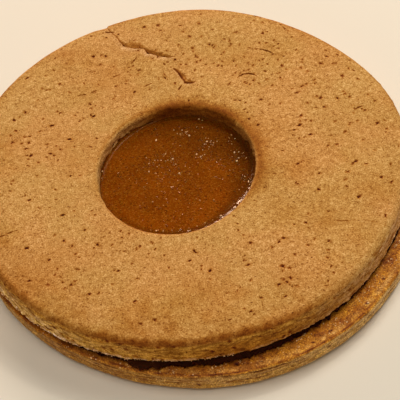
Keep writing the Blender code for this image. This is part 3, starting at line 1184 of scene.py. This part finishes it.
    def masks(self, vert: Point) -> dict[Mask, float]:
        """How browned, how pale and how much part of the wall a point is.

        Args:
            vert: The point, before the relief moves it.

        Returns:
            A number for each mask. The toasting mask is below 0 where painted light makes the foot
            paler than the face.
        """
        point = vert.co
        radius, angle = polar(point)
        inside = self.dough.radius * (1 + UPPER_OUTLINE.share(angle)) - radius
        drop = self.dough.thickness - point.z
        outer = 1 - ease_mm(inside, 3.2, 4.2)
        level = drop + 0.45 * max(0.0, 3.2 * MM - inside)
        level += (self.crust_shift(angle) + 0.30 * ripple(point, 2.8, 9.7)) * MM
        wall = outer * self.wall_brown(angle) * ease_mm(level, 2.1, 2.7)
        freckles = ease(ripples(point, (1.0, 3.4, 5.5), (0.5, 1.2, 1.5)), 0.05, 0.7)
        freckles *= ease_mm(radius, 33, 45) * from_direction(angle, -97) ** 2
        brown = max(
            self.crust_and_shade(point, angle, level) * outer,
            self.lip_toast_and_shade(point),
            (self.browned_and_shaded(point) + 0.20 * freckles) * (1 - wall),
        )
        # The foot: painted light on the left, darker low at the front.
        low = outer * ease_mm(drop, 1.2, 3.8)
        brown += low * self.foot_toast_and_light(angle) * (1 + 0.7 * ripple(point, 1.6, 18.0))
        streak = layered(point, 1.9, 0.46, 5.7) + 0.6 * layered(point, 0.8, 0.60, 8.8)
        # Pale crumb at the foot, with painted light on its right.
        pale_lit_foot = self.foot_pale_and_lit(angle) * outer * ease_mm(drop, 0.6, 1.2)
        brown += 0.75 * pale_lit_foot * ease(-streak, 0.10, 0.50)
        pale = pale_lit_foot * ease_mm(drop, 0.6, 3.0) * limited(0.75 + 1.3 * streak)
        pale *= 1.3 * limited(0.6 + 1.3 * ripple(point, 1.1, 5.0))
        chips = outer * (1 - ease_mm(abs(point.z - 0.45 * MM), 0.15, 0.50)) * (angle < 0)
        chips *= ease(ripple(point, 0.9, 21.0), -0.25, 0.15)
        return {
            Mask.TOAST: brown,
            Mask.PALE: limited(max(pale, chips)),
            Mask.PIT: 0.8 * wall * ease(ripple(point, 0.75, 31.0), 0.42, 0.60),
            Mask.WALL: wall,
        }

    def crust_and_shade(self, point: Vector, angle: float, level: float) -> float:
        """The brown line round the shoulder, strongest at the front: partly toasting, partly painted
        shade.

        Args:
            point: A point of the disc.
            angle: Its direction.
            level: How far it is down the shoulder.

        Returns:
            How brown the point is.
        """
        ragged = 0.92 + ripples(point, (0.55, 2.2, 2.2), (0.45, 0.8, 7.0))
        band = 0.18 * ease_mm(level, -0.4, 0.7) + 0.82 * ease_mm(level, 0.6, 1.7)
        return band * (1 - ease_mm(level, 2.1, 2.9)) * ragged * self.crust_and_shade_strength(angle)

    def lip_toast_and_shade(self, point: Vector) -> float:
        """The soft brown edge round the window, widest behind it and to the right; on the wall behind
        it, partly painted shade.
        """
        around = math.atan2(point.y - self.window.shift.y, point.x - self.window.shift.x)
        ragged = max(0.4, 1 + ripples(point, (0.45, 1.2, 3.6), (0.25, 0.6, 8.6)))
        distance = self.window.outside(point)
        wall, lip = self.lip_wall(around), self.lip_depth(around)
        inner = wall + (lip - wall) * ease_mm(distance, 0.1, 0.8)
        reach = self.lip_reach(around) * MM
        return inner * math.exp(-max(0.0, distance - 0.3 * reach - 0.6 * MM) / (reach * ragged))

    def browned_and_shaded(self, point: Vector) -> float:
        """How much darker this part of the face is: the listed patches, and painted shade towards the
        front rim.
        """
        total = 0.0
        for x, y, reach, strength in BROWN_PATCHES:
            away = math.hypot(point.x / MM - x, point.y / MM - y) / reach
            if away < 2:
                total += strength * math.exp(-away * away)
        radius, angle = polar(point)
        # Painted shade towards the front rim.
        total += 0.11 * from_direction(angle, -88) ** 3 * ease_mm(radius, 32, 46)
        return total * (0.9 + 0.8 * ripple(point, 2.4, 14.2))

    def weather(self, work: Skin, pores: list[Pore]) -> None:
        """Adds baked relief, sinks pores and cracks, and stores the masks of the finish, with painted
        shade in pores and cracks and a painted highlight on crack lips.
        """
        layers = bake(work, self.relief, self.masks)
        toast, pale, pit = layers[Mask.TOAST], layers[Mask.PALE], layers[Mask.PIT]
        points = Points(work)
        for pore in pores:
            depth = 0.50 + 0.45 * ease_mm(pore.radius, 0.14, 0.25)
            for vert in points.near(pore.place, pore.radius * pore.stretch * 2.4):
                distance = pore.distance(vert.co)
                # A brown halo round each pore, and its hole darkened, partly as painted shade.
                vert[toast] = max(vert[toast], 0.30 * ease(2.4 - distance, 0.0, 1.5))
                vert[pit] = max(vert[pit], depth * ease(1.12 - distance, 0.0, 0.5))
                vert.co.z -= pore.depth * max(0.0, 1 - distance * distance)
        for crack in CRACKS:
            reach = max(crack.slope, crack.steep + crack.lip_width) * 1.6 * MM
            places = crack.places(self.dough.thickness)
            for vert in {vert for place in places for vert in points.near(place, reach)}:
                sink_and_shade = crack.sink_and_shade(vert.co)
                vert.co.z -= sink_and_shade.sink
                # Painted shade in the crack and a painted highlight on its lip.
                vert[toast] = max(vert[toast], 0.62 * sink_and_shade.shade + 1.15 * sink_and_shade.line)
                vert[pale] = max(vert[pale], sink_and_shade.lip)

    def build(self, material: bpy.types.Material) -> None:
        """Builds and dresses the disc, and hides the solid."""
        pores = PoreScatter(self.window, self.dough.radius).run(self.pores)
        work = turned(self.profile(), self.segments, closed=True)
        self.form(work)
        self.refine(work, pores)
        self.weather(work, pores)
        place = Vector((*self.stack.upper_centre, self.stack.upper_base))
        piece = finished(work, "upper_biscuit_baked", place)
        dressed(piece, material, Slot.FACE)
        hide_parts(Node.UPPER.value)


@dataclass
class LowerBiscuit:
    """The plain disc, upside down: its flat side is up and its shoulder is on the table."""

    stack: Stack
    dough: Dough = Dough()
    segments: int = 600
    covered_radius: float = 40 * MM
    face_spacing: float = 0.30 * MM
    wall_spacing: float = 0.24 * MM
    hidden_spacing: float = 3.0 * MM
    pits: tuple[tuple[float, float, float], ...] = (
        (2.8, 45.4, 0.42), (12.2, 44.6, 0.25), (-9.0, 45.9, 0.24), (30.0, 35.6, 0.30),
        (34.5, 30.2, 0.25), (22.0, 40.7, 0.22), (18.2, 42.9, 0.26),
    )
    # The wall is darker towards the front left.
    wall_darkening: Round = Round(
        (-180, 0), (60, 0), (100, 0.18), (115, 0.28), (135, 0.3), (152, 0.05), (180, 0),
    )
    # Painted shadow on the ledge under the upper disc's foot, by direction.
    gap_shade: Round = Round(
        (-180, 0.2), (0, 0.2), (25, 0.18), (50, 0.08), (65, 0.2), (85, 0.34), (120, 0.36),
        (180, 0.2),
    )
    wall_pale: Round = Round(
        (-180, 0.1), (0, 0.5), (40, 0.8), (52, 0.75), (64, 0.5), (80, 0.35), (95, 0.62),
        (110, 0.3), (180, 0.1),
    )
    wall_spots: tuple[tuple[float, float], ...] = ((58.3, 2.0), (63.7, 2.4), (36.0, 2.8), (96.0, 3.3))
    tray_relief: Path = ((0.10, 3.2, 1.1), (0.09, 1.3, 2.7), (0.09, 0.75, 4.9))
    splits: Path = ((0.62, 0.0, 1.0), (1.9, 7.0, 0.5), (3.0, 13.0, 0.5))

    def profile(self) -> Profile:
        """Open outline from the axis on the flat side, round the rim, to the axis below."""
        rim = self.dough.rim_profile()
        return joined(
            ([(0.0, self.dough.thickness), rim[0]], self.hidden_spacing),
            (rim[1:], self.wall_spacing),
            ([(self.covered_radius, 0.0)], self.face_spacing),
            ([(0.0, 0.0)], self.hidden_spacing),
        )

    def relief(self, vert: Point) -> Vector:
        """How baking moved one point of the skin, in the disc's own, right-way-up frame."""
        point, normal = vert.co, vert.normal
        shown = ease(point.xy.length, self.covered_radius, self.covered_radius + 1.5 * MM)
        push = ease(-normal.z, 0.35, 0.9) * shown * ripples(point, *self.tray_relief)
        push += ease(1 - abs(normal.z), 0.3, 0.8) * (
            0.15 * layered(point, 4.5, 0.7, 4.2)
            + 0.09 * layered(point, 1.7, 0.4, 7.1)
            + 0.06 * ripple(point, 0.7, 9.9)
            - 0.32 * self.split(point)
        )
        return normal * (push * MM)

    def split(self, point: Vector) -> float:
        """1 in the fine cracks that run round the wall, 0 elsewhere."""
        around = on_circle(math.atan2(point.y, point.x), 9)
        fine = 0.10 * noise.noise(around * 6)
        deepest = 0.0
        for height, shift, share in self.splits:
            level = height + 0.24 * noise.noise(around + Vector((shift, 0, 0))) + fine
            share *= ease(noise.noise(around * 0.7 + Vector((shift, 4, 4))), -0.2, 0.2)
            deepest = max(deepest, share * (1 - ease_mm(abs(point.z - level * MM), 0.05, 0.22)))
        return deepest

    def masks(self, vert: Point) -> dict[Mask, float]:
        """How toasted and shaded, pale, pitted and how much part of the wall a point is.

        Args:
            vert: The point, before the relief moves it.

        Returns:
            A number from 0 to 1 for each mask.
        """
        point = vert.co
        radius, angle = polar(point)
        tray_side = ease(-vert.normal.z, 0.3, 0.85)
        inside = self.dough.radius * (1 + LOWER_OUTLINE.share(angle)) - radius
        blotch = ease(ripples(point, (1.0, 2.2, 6.0), (0.9, 0.8, 3.0)), -0.1, 0.6)
        seen = Vector((point.x, -point.y)) + self.stack.lower_centre - self.stack.upper_centre
        covering = UPPER_OUTLINE.share(math.atan2(seen.y, seen.x))
        gap = seen.length - self.dough.radius * (1 + covering)
        # Painted shadow on the ledge under the upper disc's foot.
        shade = self.gap_shade(angle) * (1 - ease_mm(gap, 0.2, 2.3))
        # A dark line painted along the crease: a fine crack with its shade.
        from_line = abs(inside - (0.42 + 0.12 * ripple(point, 3, 12.0)) * MM)
        line = 1 - ease_mm(from_line, 0.05, 0.22)
        line *= (1 - ease_mm(point.z, 0.25, 0.5)) * ease(from_direction(angle, 84), 0.75, 0.9)
        line *= ease(ripple(point, 2.2, 44.0), -0.45, 0.15)
        crease = ease_mm(inside, 0.5, 0.9) * (1 - ease_mm(inside, 1.3, 2.2))
        crease *= tray_side * (0.22 + 0.05 * from_direction(angle, 45) ** 2)
        pale_wall = (1 - tray_side) * self.wall_pale(angle)
        # The fine cracks round the wall are darkened as painted shade.
        pit = max(0.80 * self.split(point) * (1 - tray_side), 0.42 * line)
        for turn, height in self.wall_spots:
            spot = on_circle(math.radians(turn), radius, height * MM)
            pit = max(pit, 0.9 * ease_mm(0.42 * MM - (point - spot).length, 0, 0.25))
        return {
            Mask.TOAST: max(
                tray_side * (0.40 * blotch + shade),
                (1 - tray_side) * self.wall_darkening(angle),
                0.35 * line,
            ),
            Mask.PALE: limited((crease + pale_wall) * (0.7 + 1.2 * ripple(point, 1.3, 8.0))),
            Mask.PIT: pit,
            Mask.WALL: (1 - tray_side) * (1 - ease_mm(inside, 3, 6)),
        }

    def build(self, material: bpy.types.Material) -> None:
        """Builds, turns over and dresses the disc, and hides the solid."""
        work = turned(self.profile(), self.segments, closed=False)
        for vert in work.verts:
            outward = self.dough.rim_roughness(vert.co, LOWER_SEED)
            vert.co = uneven(vert.co, LOWER_OUTLINE, None, outward)
        pit = bake(work, self.relief, self.masks)[Mask.PIT]
        points = Points(work)
        for x, y, radius in self.pits:
            pore = Pore(Vector((x * MM, y * MM, 0.0)), radius * MM, 1.3, 0.5, radius * MM)
            for vert in points.near(pore.place, pore.radius * 2):
                distance = pore.distance(vert.co)
                # The pit is darkened, partly as painted shade.
                vert[pit] = ease(1.1 - distance, 0.0, 0.6)
                vert.co.z += pore.depth * max(0.0, 1 - distance * distance)
        bmesh.ops.transform(work, matrix=Matrix.Rotation(math.pi, 4, "X"), verts=work.verts)
        place = Vector((*self.stack.lower_centre, self.dough.thickness))
        piece = finished(work, "lower_biscuit_baked", place)
        dressed(piece, material, Slot.BASE)
        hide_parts(Node.LOWER.value)


# Where bubbles crowd in the pool, from the window's middle: place and spread in millimetres,
# and how many.
BUBBLE_CLUSTERS = (
    (2.5, 12.6, 1.1, 20), (7.7, 8.5, 1.2, 20), (-1, 6.7, 1.7, 20), (5.6, 5.3, 1.9, 24),
    (13.1, 9.2, 0.9, 18), (13.4, 3.4, 1.2, 24), (14.2, -3.5, 1.1, 18), (-5.1, 2.2, 3.2, 60),
    (5.6, 15, 1.4, 10), (-0.4, 4.4, 0.7, 8), (9.5, 0.5, 2.4, 18), (-2, -2.5, 4, 40),
)
# Grains that catch the light in the pool, in millimetres from the window's middle.
POOL_GLINTS = (
    (2.2, 13.3), (1.7, 12.2), (3, 12.6), (3.6, 11.4), (7.2, 8.9), (7.9, 8.5), (8.6, 8.3),
    (6.6, 8.2), (-0.1, 7.4), (-0.6, 5.2), (-0.1, 3.6), (-2, 7), (4.6, 5.6), (5.4, 4.7),
    (6.3, 5.2), (6.2, 15.9), (6.9, 15.4), (12.7, 9.8), (13.3, 8.6), (12.7, 4.6), (13.4, 2.9),
    (12.9, 2.1), (14, -2.6), (14.6, -4.2), (-5.8, -13.9), (-3.7, 11.4), (-4.6, 1.8),
    (-6, 2.6), (0.4, 0.9), (3.9, -7.4),
)
# Grains along the pool's left edge, where the jam climbs, and along its front edge.
EDGE_GLINTS = (
    (-16.2, 2.4), (-15.9, 4.1), (-15.6, 6), (-15, 7.4), (-14.3, 9), (-13.3, 10.9), (-12.3, 12.2),
    (-11.2, 13.5), (-10, 14.5), (-8.8, 15.2), (-7.5, 15.5), (-6.4, 15.6), (-6.9, -13.6),
    (-5.4, -13.9), (-4.4, -14.3), (-2.6, -14.4), (-1, -14.7), (0.9, -14.5), (2.6, -14.3),
    (4.3, -13.8), (6, -13.3), (7.8, -12.5),
)


class BubbleScatter(Scatter):
    """Draws the bubbles of the pool, from the window's middle."""

    seed = 17
    singles = 70
    single_size = (0.11, 0.12, 2.0)
    cluster_size = (0.10, 0.13, 2.0)
    wall_margin = 1.0 * MM

    def add(self, x: float, y: float, radius: float) -> None:
        """Adds a bubble unless it is too near the wall or another bubble."""
        place = Vector((x, y, 0.0))
        if math.hypot(x, y) > self.reach - self.wall_margin:
            return
        if any((place - b.place).length < 0.9 * (radius + b.radius) for b in self.found):
            return
        self.found.append(Pore(place, radius, 1.0, 0.0, radius * self.draw.uniform(0.5, 0.9)))

    def run(self, middle: Vector) -> list[Pore]:
        """Draws all bubbles of a pool with this middle."""
        self.add_clusters(BUBBLE_CLUSTERS)
        for _ in range(self.singles):
            self.add_single()
        return [replace(bubble, place=bubble.place + middle) for bubble in self.found]


@dataclass
class JamFilling:
    """The jam: a layer between the discs, and a pool with a raised edge in the window."""

    stack: Stack
    dough: Dough = Dough()
    window: Window = Window()
    depth: float = 3.2 * MM
    reach_in: float = 0.12 * MM
    segments: int = 360
    spacing: float = 0.30 * MM
    fine_spacing: float = 0.09 * MM
    wall_spacing: float = 0.9 * MM
    edge_spacing: float = 0.2 * MM
    hidden_spacing: float = 4 * MM
    front_edge: float = JAM_OUTLINE.radius - 1.2 * MM
    # Painted shade of the window wall on the jam, by direction: how dark and how far out.
    wall_shade_depth: Round = Round(
        (-180, 0.05), (-90, 0.55), (-50, 0.6), (-5, 0.66), (20, 0.75), (55, 0.55), (90, 0.62),
        (115, 0.4), (150, 0.15), (180, 0.05),
    )
    wall_shade_reach: Round = Round(
        (-180, 1.5), (-120, 3.2), (-80, 3.4), (-50, 4.5), (-5, 7), (20, 8.5), (55, 13), (90, 9),
        (115, 7), (150, 3), (180, 1.5),
    )
    climb: Round = Round(
        (-180, 0.5), (-150, 0.4), (-110, 1.4), (-75, 2), (-46, 2.9), (-20, 1.7), (5, 1.5),
        (35, 0.4), (90, 0.05), (108, 0.5), (125, 1.3), (150, 1.3), (180, 0.7),
    )
    climb_width: Round = Round(
        (-180, 0.25), (-150, 0.3), (-110, 0.9), (-75, 1.1), (-46, 0.92), (-20, 0.6), (5, 0.5),
        (90, 0.2), (112, 0.25), (150, 0.28), (180, 0.25),
    )
    thinness: Round = Round(
        (-180, 0.2), (-150, 0.1), (-60, 0.1), (-30, 0.2), (5, 0.3), (40, 0.1), (100, 0),
        (120, 0.05), (150, 0.1), (180, 0.05),
    )
    tongues: Path = (
        (-110.2, 1.3, 1.6), (-107.4, 1.5, 1.5), (-104.6, 0.8, 1.6), (-88, 0.55, 13),
        (-38, -0.6, 12),
    )
    knobs: Path = ((0.40, 1.7, 4.0), (0.45, 0.9, 6.0), (0.30, 0.45, 8.0))
    pool_relief: Path = ((0.035, 5, 3.1), (0.010, 1.4, 7.2))
    sink_in: float = 0.03 * MM

    @property
    def layer(self) -> float:
        """Thickness of the layer between the discs."""
        return self.stack.upper_base - self.stack.lower_top

    @property
    def pool_top(self) -> float:
        """Height of the pool above the lower disc."""
        return self.layer + self.dough.thickness - self.depth

    @property
    def pool_middle(self) -> Vector:
        """The middle of the pool, from the middle of the jam."""
        return self.stack.upper_centre - self.stack.jam_centre + self.window.shift

    def profile(self) -> Profile:
        """Open outline from the middle of the pool, over the layer's edge, to the axis below."""
        radius = self.window.radius + self.reach_in
        top, half, full = self.pool_top, self.layer / 2, JAM_OUTLINE.radius
        edge = arc((full - half, half), half, 90, -90)
        return joined(
            ([(0.0, top), (radius - 1.6 * MM, top)], self.spacing),
            ([(radius, top)], self.fine_spacing),
            ([(radius, self.layer)], self.wall_spacing),
            ([(full - 3 * MM, self.layer), edge[0]], self.hidden_spacing),
            (edge[1:], self.edge_spacing),
            ([(0.0, 0.0)], self.hidden_spacing),
        )

    def in_pool(self, vert: Point) -> bool:
        """Whether a point is on the pool's top."""
        return vert.co.z > self.pool_top - 0.01 * MM

    def tongue(self, angle: float) -> float:
        """How far the jam is pressed out past its layer in this direction."""
        reach = 0.0
        for direction, length, half_width in self.tongues:
            away = math.degrees(math.remainder(angle - math.radians(direction), math.tau))
            reach += length * MM * math.exp(-(away / half_width) ** 2)
        return reach

    def rise(self, angle: float, from_wall: float, place: Vector) -> float:
        """How high the jam climbs near the window's wall: highest at the front right and left.

        Args:
            angle: The direction from the pool's middle.
            from_wall: How far the point is from the wall.
            place: The point, for the unevenness along the wall.

        Returns:
            The climb.
        """
        broken = 0.90 + ripples(place, (0.30, 1.3, 2.4), (0.45, 0.35, 5.4))
        height = (0.03 + self.climb(angle) * limited(broken)) * MM
        return height * math.exp(-max(0.0, from_wall) / (self.climb_width(angle) * MM))

    def painted_wall_shade(self, angle: float, from_wall: float) -> float:
        """How much painted shade darkens the jam near the wall: far in behind and to the right, with a
        thin dark line along the wall.

        Args:
            angle: The direction from the pool's middle.
            from_wall: How far the point is from the wall.

        Returns:
            A number from 0 to 1.
        """
        reach = self.wall_shade_reach(angle) * MM
        power = 1.1 + 5 * from_direction(angle, -100) ** 2
        depth = self.wall_shade_depth(angle) * (1 - limited(from_wall / reach) ** power)
        return max(depth, 0.60 * (1 - ease_mm(from_wall, 0.05, 0.60)))

    def shape(self, vert: Point, hole: Window, layers: Layers) -> None:
        """Moves a turned point to where the jam set and stores its painted shade and how thin it is
        there.

        Args:
            vert: The point.
            hole: The window, with the jam's reach into it, seen from the jam's middle.
            layers: Where the masks go.
        """
        radius, angle = polar(vert.co)
        from_wall = hole.radius - radius
        placed = uneven(vert.co, JAM_OUTLINE, hole, self.tongue(angle))
        if self.in_pool(vert):
            placed.z += self.rise(angle, from_wall, placed)
            width = (0.3 + 1.6 * self.climb_width(angle)) * MM
            thin = self.thinness(angle) * (1 - ease(from_wall, 0.0, width))
            vert[layers[Mask.THIN]] = thin
            vert[layers[Mask.EDGE]] = self.painted_wall_shade(angle, from_wall) * (1 - thin)
        else:
            # Painted shade: the hidden sides are darkened, and the layer's edge in the dark gap
            # between the discs is nearly black.
            vert[layers[Mask.EDGE]] = self.painted_wall_shade(angle, 0.0)
            if from_wall < -0.5 * MM:
                pressed = ease(radius, JAM_OUTLINE.radius - 2 * MM, JAM_OUTLINE.radius)
                vert[layers[Mask.EDGE]] = 1 - 0.08 * pressed * limited(self.tongue(angle) / MM)
                placed.z += self.sink_in if placed.z > self.layer / 2 else -self.sink_in
            if radius > JAM_OUTLINE.radius - 1.5 * MM:
                placed += on_circle(polar(placed)[1], ripples(placed, *self.knobs) * MM)
        vert.co = placed

    def build(self, material: bpy.types.Material) -> None:
        """Builds and dresses the jam, and hides the solid."""
        work = turned(self.profile(), self.segments, closed=False)
        layers = mask_layers(work, Mask.EDGE, Mask.BUBBLE, Mask.THIN)
        hole = replace(
            self.window, radius=self.window.radius + self.reach_in, shift=self.pool_middle,
        )
        for near in (0.2, 0.7):
            refine_among(work, {vert for vert in work.verts if vert.co.xy.length > self.front_edge
                                and from_direction(polar(vert.co)[1], FRONT) > near})
        for vert in work.verts:
            self.shape(vert, hole, layers)
        middle = Vector((*self.pool_middle, self.pool_top))
        bubbles = BubbleScatter(self.window, self.window.radius).run(middle)
        for spread in (1.4, 0.5):
            refine_near(work, [(b.place, b.radius + 0.14 * MM * spread) for b in bubbles])
        points = Points(work)
        for vert in filter(self.in_pool, points.verts):
            vert.co.z += MM * ripples(vert.co, *self.pool_relief)
        for bubble in bubbles:
            for vert in points.near(bubble.place, bubble.radius + 0.3 * MM):
                close = max(0.0, 1 - bubble.distance(vert.co) ** 2)
                vert.co.z += bubble.depth * math.sqrt(close)
                vert[layers[Mask.BUBBLE]] = max(vert[layers[Mask.BUBBLE]], close)
        place = Vector((*self.stack.jam_centre, self.stack.lower_top))
        piece = finished(work, "jam_filling_glossy", place)
        dressed(piece, material, Slot.JAM)
        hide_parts(Node.JAM.value)


@dataclass
class Grains:
    """Small loose things that lie on the biscuit, all of one kind in one piece."""

    stack: Stack
    jam: JamFilling
    dough: Dough = Dough()
    flaked: tuple[float, ...] = (-158, -150, -133, -127, -119, -111, -107, -104, -97, -88)
    crumb_count: int = 60
    flake_count: int = 190
    sugar_count: int = 300

    def ledge_place(self, draw: random.Random) -> Vector | None:
        """A place on the lower disc where it shows past the upper one, or None if it misses."""
        turn = math.radians(draw.uniform(-165, 10))
        spot = self.stack.lower_centre + on_circle(turn, draw.uniform(43.6, 46.9) * MM).xy
        if (spot - self.stack.upper_centre).length < self.dough.radius - 0.3 * MM:
            return None
        if ripple(Vector((*spot, 0.0)), 2.6, 6.6) < 0.0:
            return None
        return Vector((*spot, self.stack.lower_top))

    def grain(self, work: Skin, draw: random.Random, place: Vector, *law: float) -> None:
        """Adds one angular grain, sunk a little into what it lies on, its size drawn by a law."""
        size = drawn_size(draw, *law)
        tilt = Matrix.Rotation(draw.uniform(0, math.tau), 4, draw.choice("XYZ"))
        turn = Matrix.Rotation(draw.uniform(0, math.tau), 4, "Z")
        shape = Matrix.Diagonal((draw.uniform(0.9, 1.4), draw.uniform(0.7, 1.0), 0.8, 1.0))
        matrix = Matrix.Translation(place + Vector((0, 0, size * 0.25))) @ turn @ tilt @ shape
        bmesh.ops.create_icosphere(work, subdivisions=1, radius=size, matrix=matrix)

    def ledge_grains(self, work: Skin, draw: random.Random, count: int, *law: float) -> None:
        """Adds grains on the shown ledge of the lower disc, their sizes drawn by a law."""
        made = 0
        while made < count:
            place = self.ledge_place(draw)
            if place:
                self.grain(work, draw, place, *law)
                made += 1

    def jolt(self, work: Skin, pale: float, strength: float, seed: float) -> None:
        """Makes grains of dough pale and irregular."""
        layers = mask_layers(work, Mask.TOAST, Mask.PALE)
        for vert in work.verts:
            vert[layers[Mask.PALE]] = pale
            jolt = [ripple(vert.co, 0.16, seed + step) for step in range(3)]
            vert.co += Vector(jolt) * (strength * MM)

    def crumbs(self, material: bpy.types.Material) -> None:
        """Builds the crumbs of dough on the shown ledge as one piece."""
        work = bmesh.new()
        self.ledge_grains(work, random.Random(23), self.crumb_count, 0.10, 0.10)
        self.jolt(work, 0.6, 0.05, 1.0)
        dressed(finished(work, "loose_crumbs"), material, Slot.BASE)

    def flakes(self, material: bpy.types.Material) -> None:
        """Builds the crisp pale flakes that stand out of the upper disc's foot as one piece."""
        draw = random.Random(37)
        work = bmesh.new()
        for _ in range(self.flake_count):
            turn = math.radians(draw.choice(self.flaked) + draw.gauss(0.0, 3.0))
            foot = on_circle(turn, self.dough.radius, draw.uniform(0.10, 0.60) * MM)
            rim = uneven(foot, UPPER_OUTLINE, None, self.dough.rim_roughness(foot, UPPER_SEED))
            rim.xy *= 1 - draw.uniform(0.05, 0.30) * MM / rim.xy.length
            place = rim + Vector((*self.stack.upper_centre, self.stack.upper_base))
            self.grain(work, draw, place, 0.07, 0.12, 2)
        self.jolt(work, 1.0, 0.06, 4.0)
        dressed(finished(work, "foot_flakes"), material, Slot.FACE)

    def sugar(self, material: bpy.types.Material) -> None:
        """Builds the grains of sugar on the shown ledge and in the pool as one piece."""
        draw = random.Random(29)
        work = bmesh.new()
        window = self.jam.window
        self.ledge_grains(work, draw, self.sugar_count, 0.08, 0.12, 2)
        surface = self.stack.lower_top + self.jam.pool_top
        middle = Vector((*(self.stack.upper_centre + window.shift), surface))
        for x, y in POOL_GLINTS:
            self.grain(work, draw, middle + Vector((x, y, 0.0)) * MM, 0.14, 0.11)
        for x, y in EDGE_GLINTS:
            spot = Vector((x, y, 0.0)) * MM
            from_wall = max(0.0, -window.outside(spot.xy + window.shift))
            spot.z = self.jam.rise(math.atan2(y, x), from_wall, spot) + 0.05 * MM
            self.grain(work, draw, middle + spot, 0.09, 0.09)
        for x, y, spread, crowd in BUBBLE_CLUSTERS:
            for _ in range(crowd // 2):
                away = Vector((draw.gauss(x, spread), draw.gauss(y, spread), 0.0)) * MM
                if away.length < window.radius - 1.5 * MM:
                    self.grain(work, draw, middle + away, 0.06, 0.07)
        dressed(finished(work, "sugar_grains", smooth=False), material, Slot.BASE)


@dataclass(frozen=True)
class PhotoCamera:
    """The camera of the photograph, fitted to the outlines of the discs and the window."""

    lens: float = 117.0
    sensor: float = 36.0
    elevation: float = math.radians(49.59)
    roll: float = math.radians(-8.01)
    distance: float = 267.2 * MM
    aim_from_upper: tuple[float, float] = (2.30 * MM, -12.545 * MM)

    def place(self, stack: Stack, dough: Dough) -> None:
        """Makes the camera and puts it in the scene.

        Args:
            stack: The places of the discs.
            dough: The sizes of a disc.
        """
        data = bpy.data.cameras.new("photo_camera")
        data.lens = self.lens
        data.sensor_width = self.sensor
        data.clip_start = 0.01
        camera = linked("photo_camera", data)
        aim = Vector((*stack.upper_centre, stack.upper_base + dough.thickness))
        aim.xy += Vector(self.aim_from_upper)
        turn = Matrix.Rotation(math.pi / 2 - self.elevation, 4, "X")
        turn @= Matrix.Rotation(self.roll, 4, "Z")
        back = Matrix.Translation((0.0, 0.0, self.distance))
        camera.matrix_world = Matrix.Translation(aim) @ turn @ back
        bpy.context.scene.camera = camera


@dataclass(frozen=True)
class SoftBox:
    """A rectangular studio light that faces the biscuit."""

    name: str
    azimuth: float
    elevation: float
    distance: float
    width: float
    height: float
    power: float
    colour: Colour

    def place(self) -> None:
        """Makes the light. Azimuth 0 is behind the biscuit and 90 is to its right."""
        data = bpy.data.lights.new(self.name, "AREA")
        data.shape = "RECTANGLE"
        data.size = self.width
        data.size_y = self.height
        data.energy = self.power
        data.color = self.colour
        light = linked(self.name, data)
        azimuth, elevation = math.radians(self.azimuth), math.radians(self.elevation)
        towards = on_circle(math.pi / 2 - azimuth, math.cos(elevation), math.sin(elevation))
        light.location = towards * self.distance
        light.rotation_mode = "QUATERNION"
        light.rotation_quaternion = towards.to_track_quat("Z", "Y")


@dataclass(frozen=True)
class Studio:
    """A plain pale floor under soft warm light."""

    floor: Colour = (0.80, 0.78, 0.74)
    floor_size: float = 3.0
    floor_roughness: float = 0.7
    cloud_size: float = 60 * MM
    cloud_tone: float = 0.97
    world: Colour = (1.0, 0.75, 0.44)
    world_strength: float = 0.14
    boxes: tuple[SoftBox, ...] = (
        SoftBox("key", 54, 56, 0.70, 0.34, 0.34, 2.1, (1.0, 0.91, 0.77)),
        SoftBox("key_core", 56, 58, 0.68, 0.05, 0.05, 0.55, (1.0, 0.88, 0.70)),
        SoftBox("overhead", 200, 78, 0.80, 0.50, 0.50, 2.4, (1.0, 0.91, 0.78)),
        SoftBox("rear_window", -13, 11, 0.80, 0.34, 0.11, 5.2, (1.0, 0.71, 0.50)),
        SoftBox("front_fill", 208, 24, 0.80, 0.60, 0.40, 0.6, (1.0, 0.90, 0.74)),
    )

    def build(self) -> None:
        """Makes the floor, the world and the lights."""
        scene = bpy.context.scene
        scene.view_settings.view_transform = "Standard"
        world = bpy.data.worlds.new("soft_room")
        world.use_nodes = True
        graph = Graph(world.node_tree)
        background = {"Color": self.world, "Strength": self.world_strength}
        graph.feed(world.node_tree.nodes["Background"], background)
        scene.world = world
        work = bmesh.new()
        bmesh.ops.create_grid(work, x_segments=1, y_segments=1, size=self.floor_size)
        floor = finished(work, "pale_floor")
        material, graph, shader = new_material("pale_surface")
        cloud = graph.noise(graph.place(), self.cloud_size, 2.0)
        darker = tuple(channel * self.cloud_tone for channel in self.floor)
        graph.feed(shader, {
            "Base Color": graph.mix(cloud, self.floor, darker),
            "Roughness": self.floor_roughness,
            "Specular IOR Level": 0.2,
        })
        floor.data.materials.append(material)
        for box in self.boxes:
            box.place()


def main() -> None:
    """Builds the biscuit from the table up, then the studio round it."""
    logging.basicConfig(level=logging.INFO, format="%(name)s %(message)s")
    stack = Stack.from_frame()
    crumb = sandy_crumb_group()
    face_dough = FACE_FINISH.material(crumb)
    base_dough = BASE_FINISH.material(crumb)
    LowerBiscuit(stack).build(base_dough)
    jam = JamFilling(stack)
    jam.build(JamFinish().material())
    UpperBiscuit(stack).build(face_dough)
    grains = Grains(stack, jam)
    grains.crumbs(base_dough)
    grains.flakes(face_dough)
    grains.sugar(SugarFinish().material())
    Studio().build()
    PhotoCamera().place(stack, Dough())


if __name__ == "__main__":
    main()
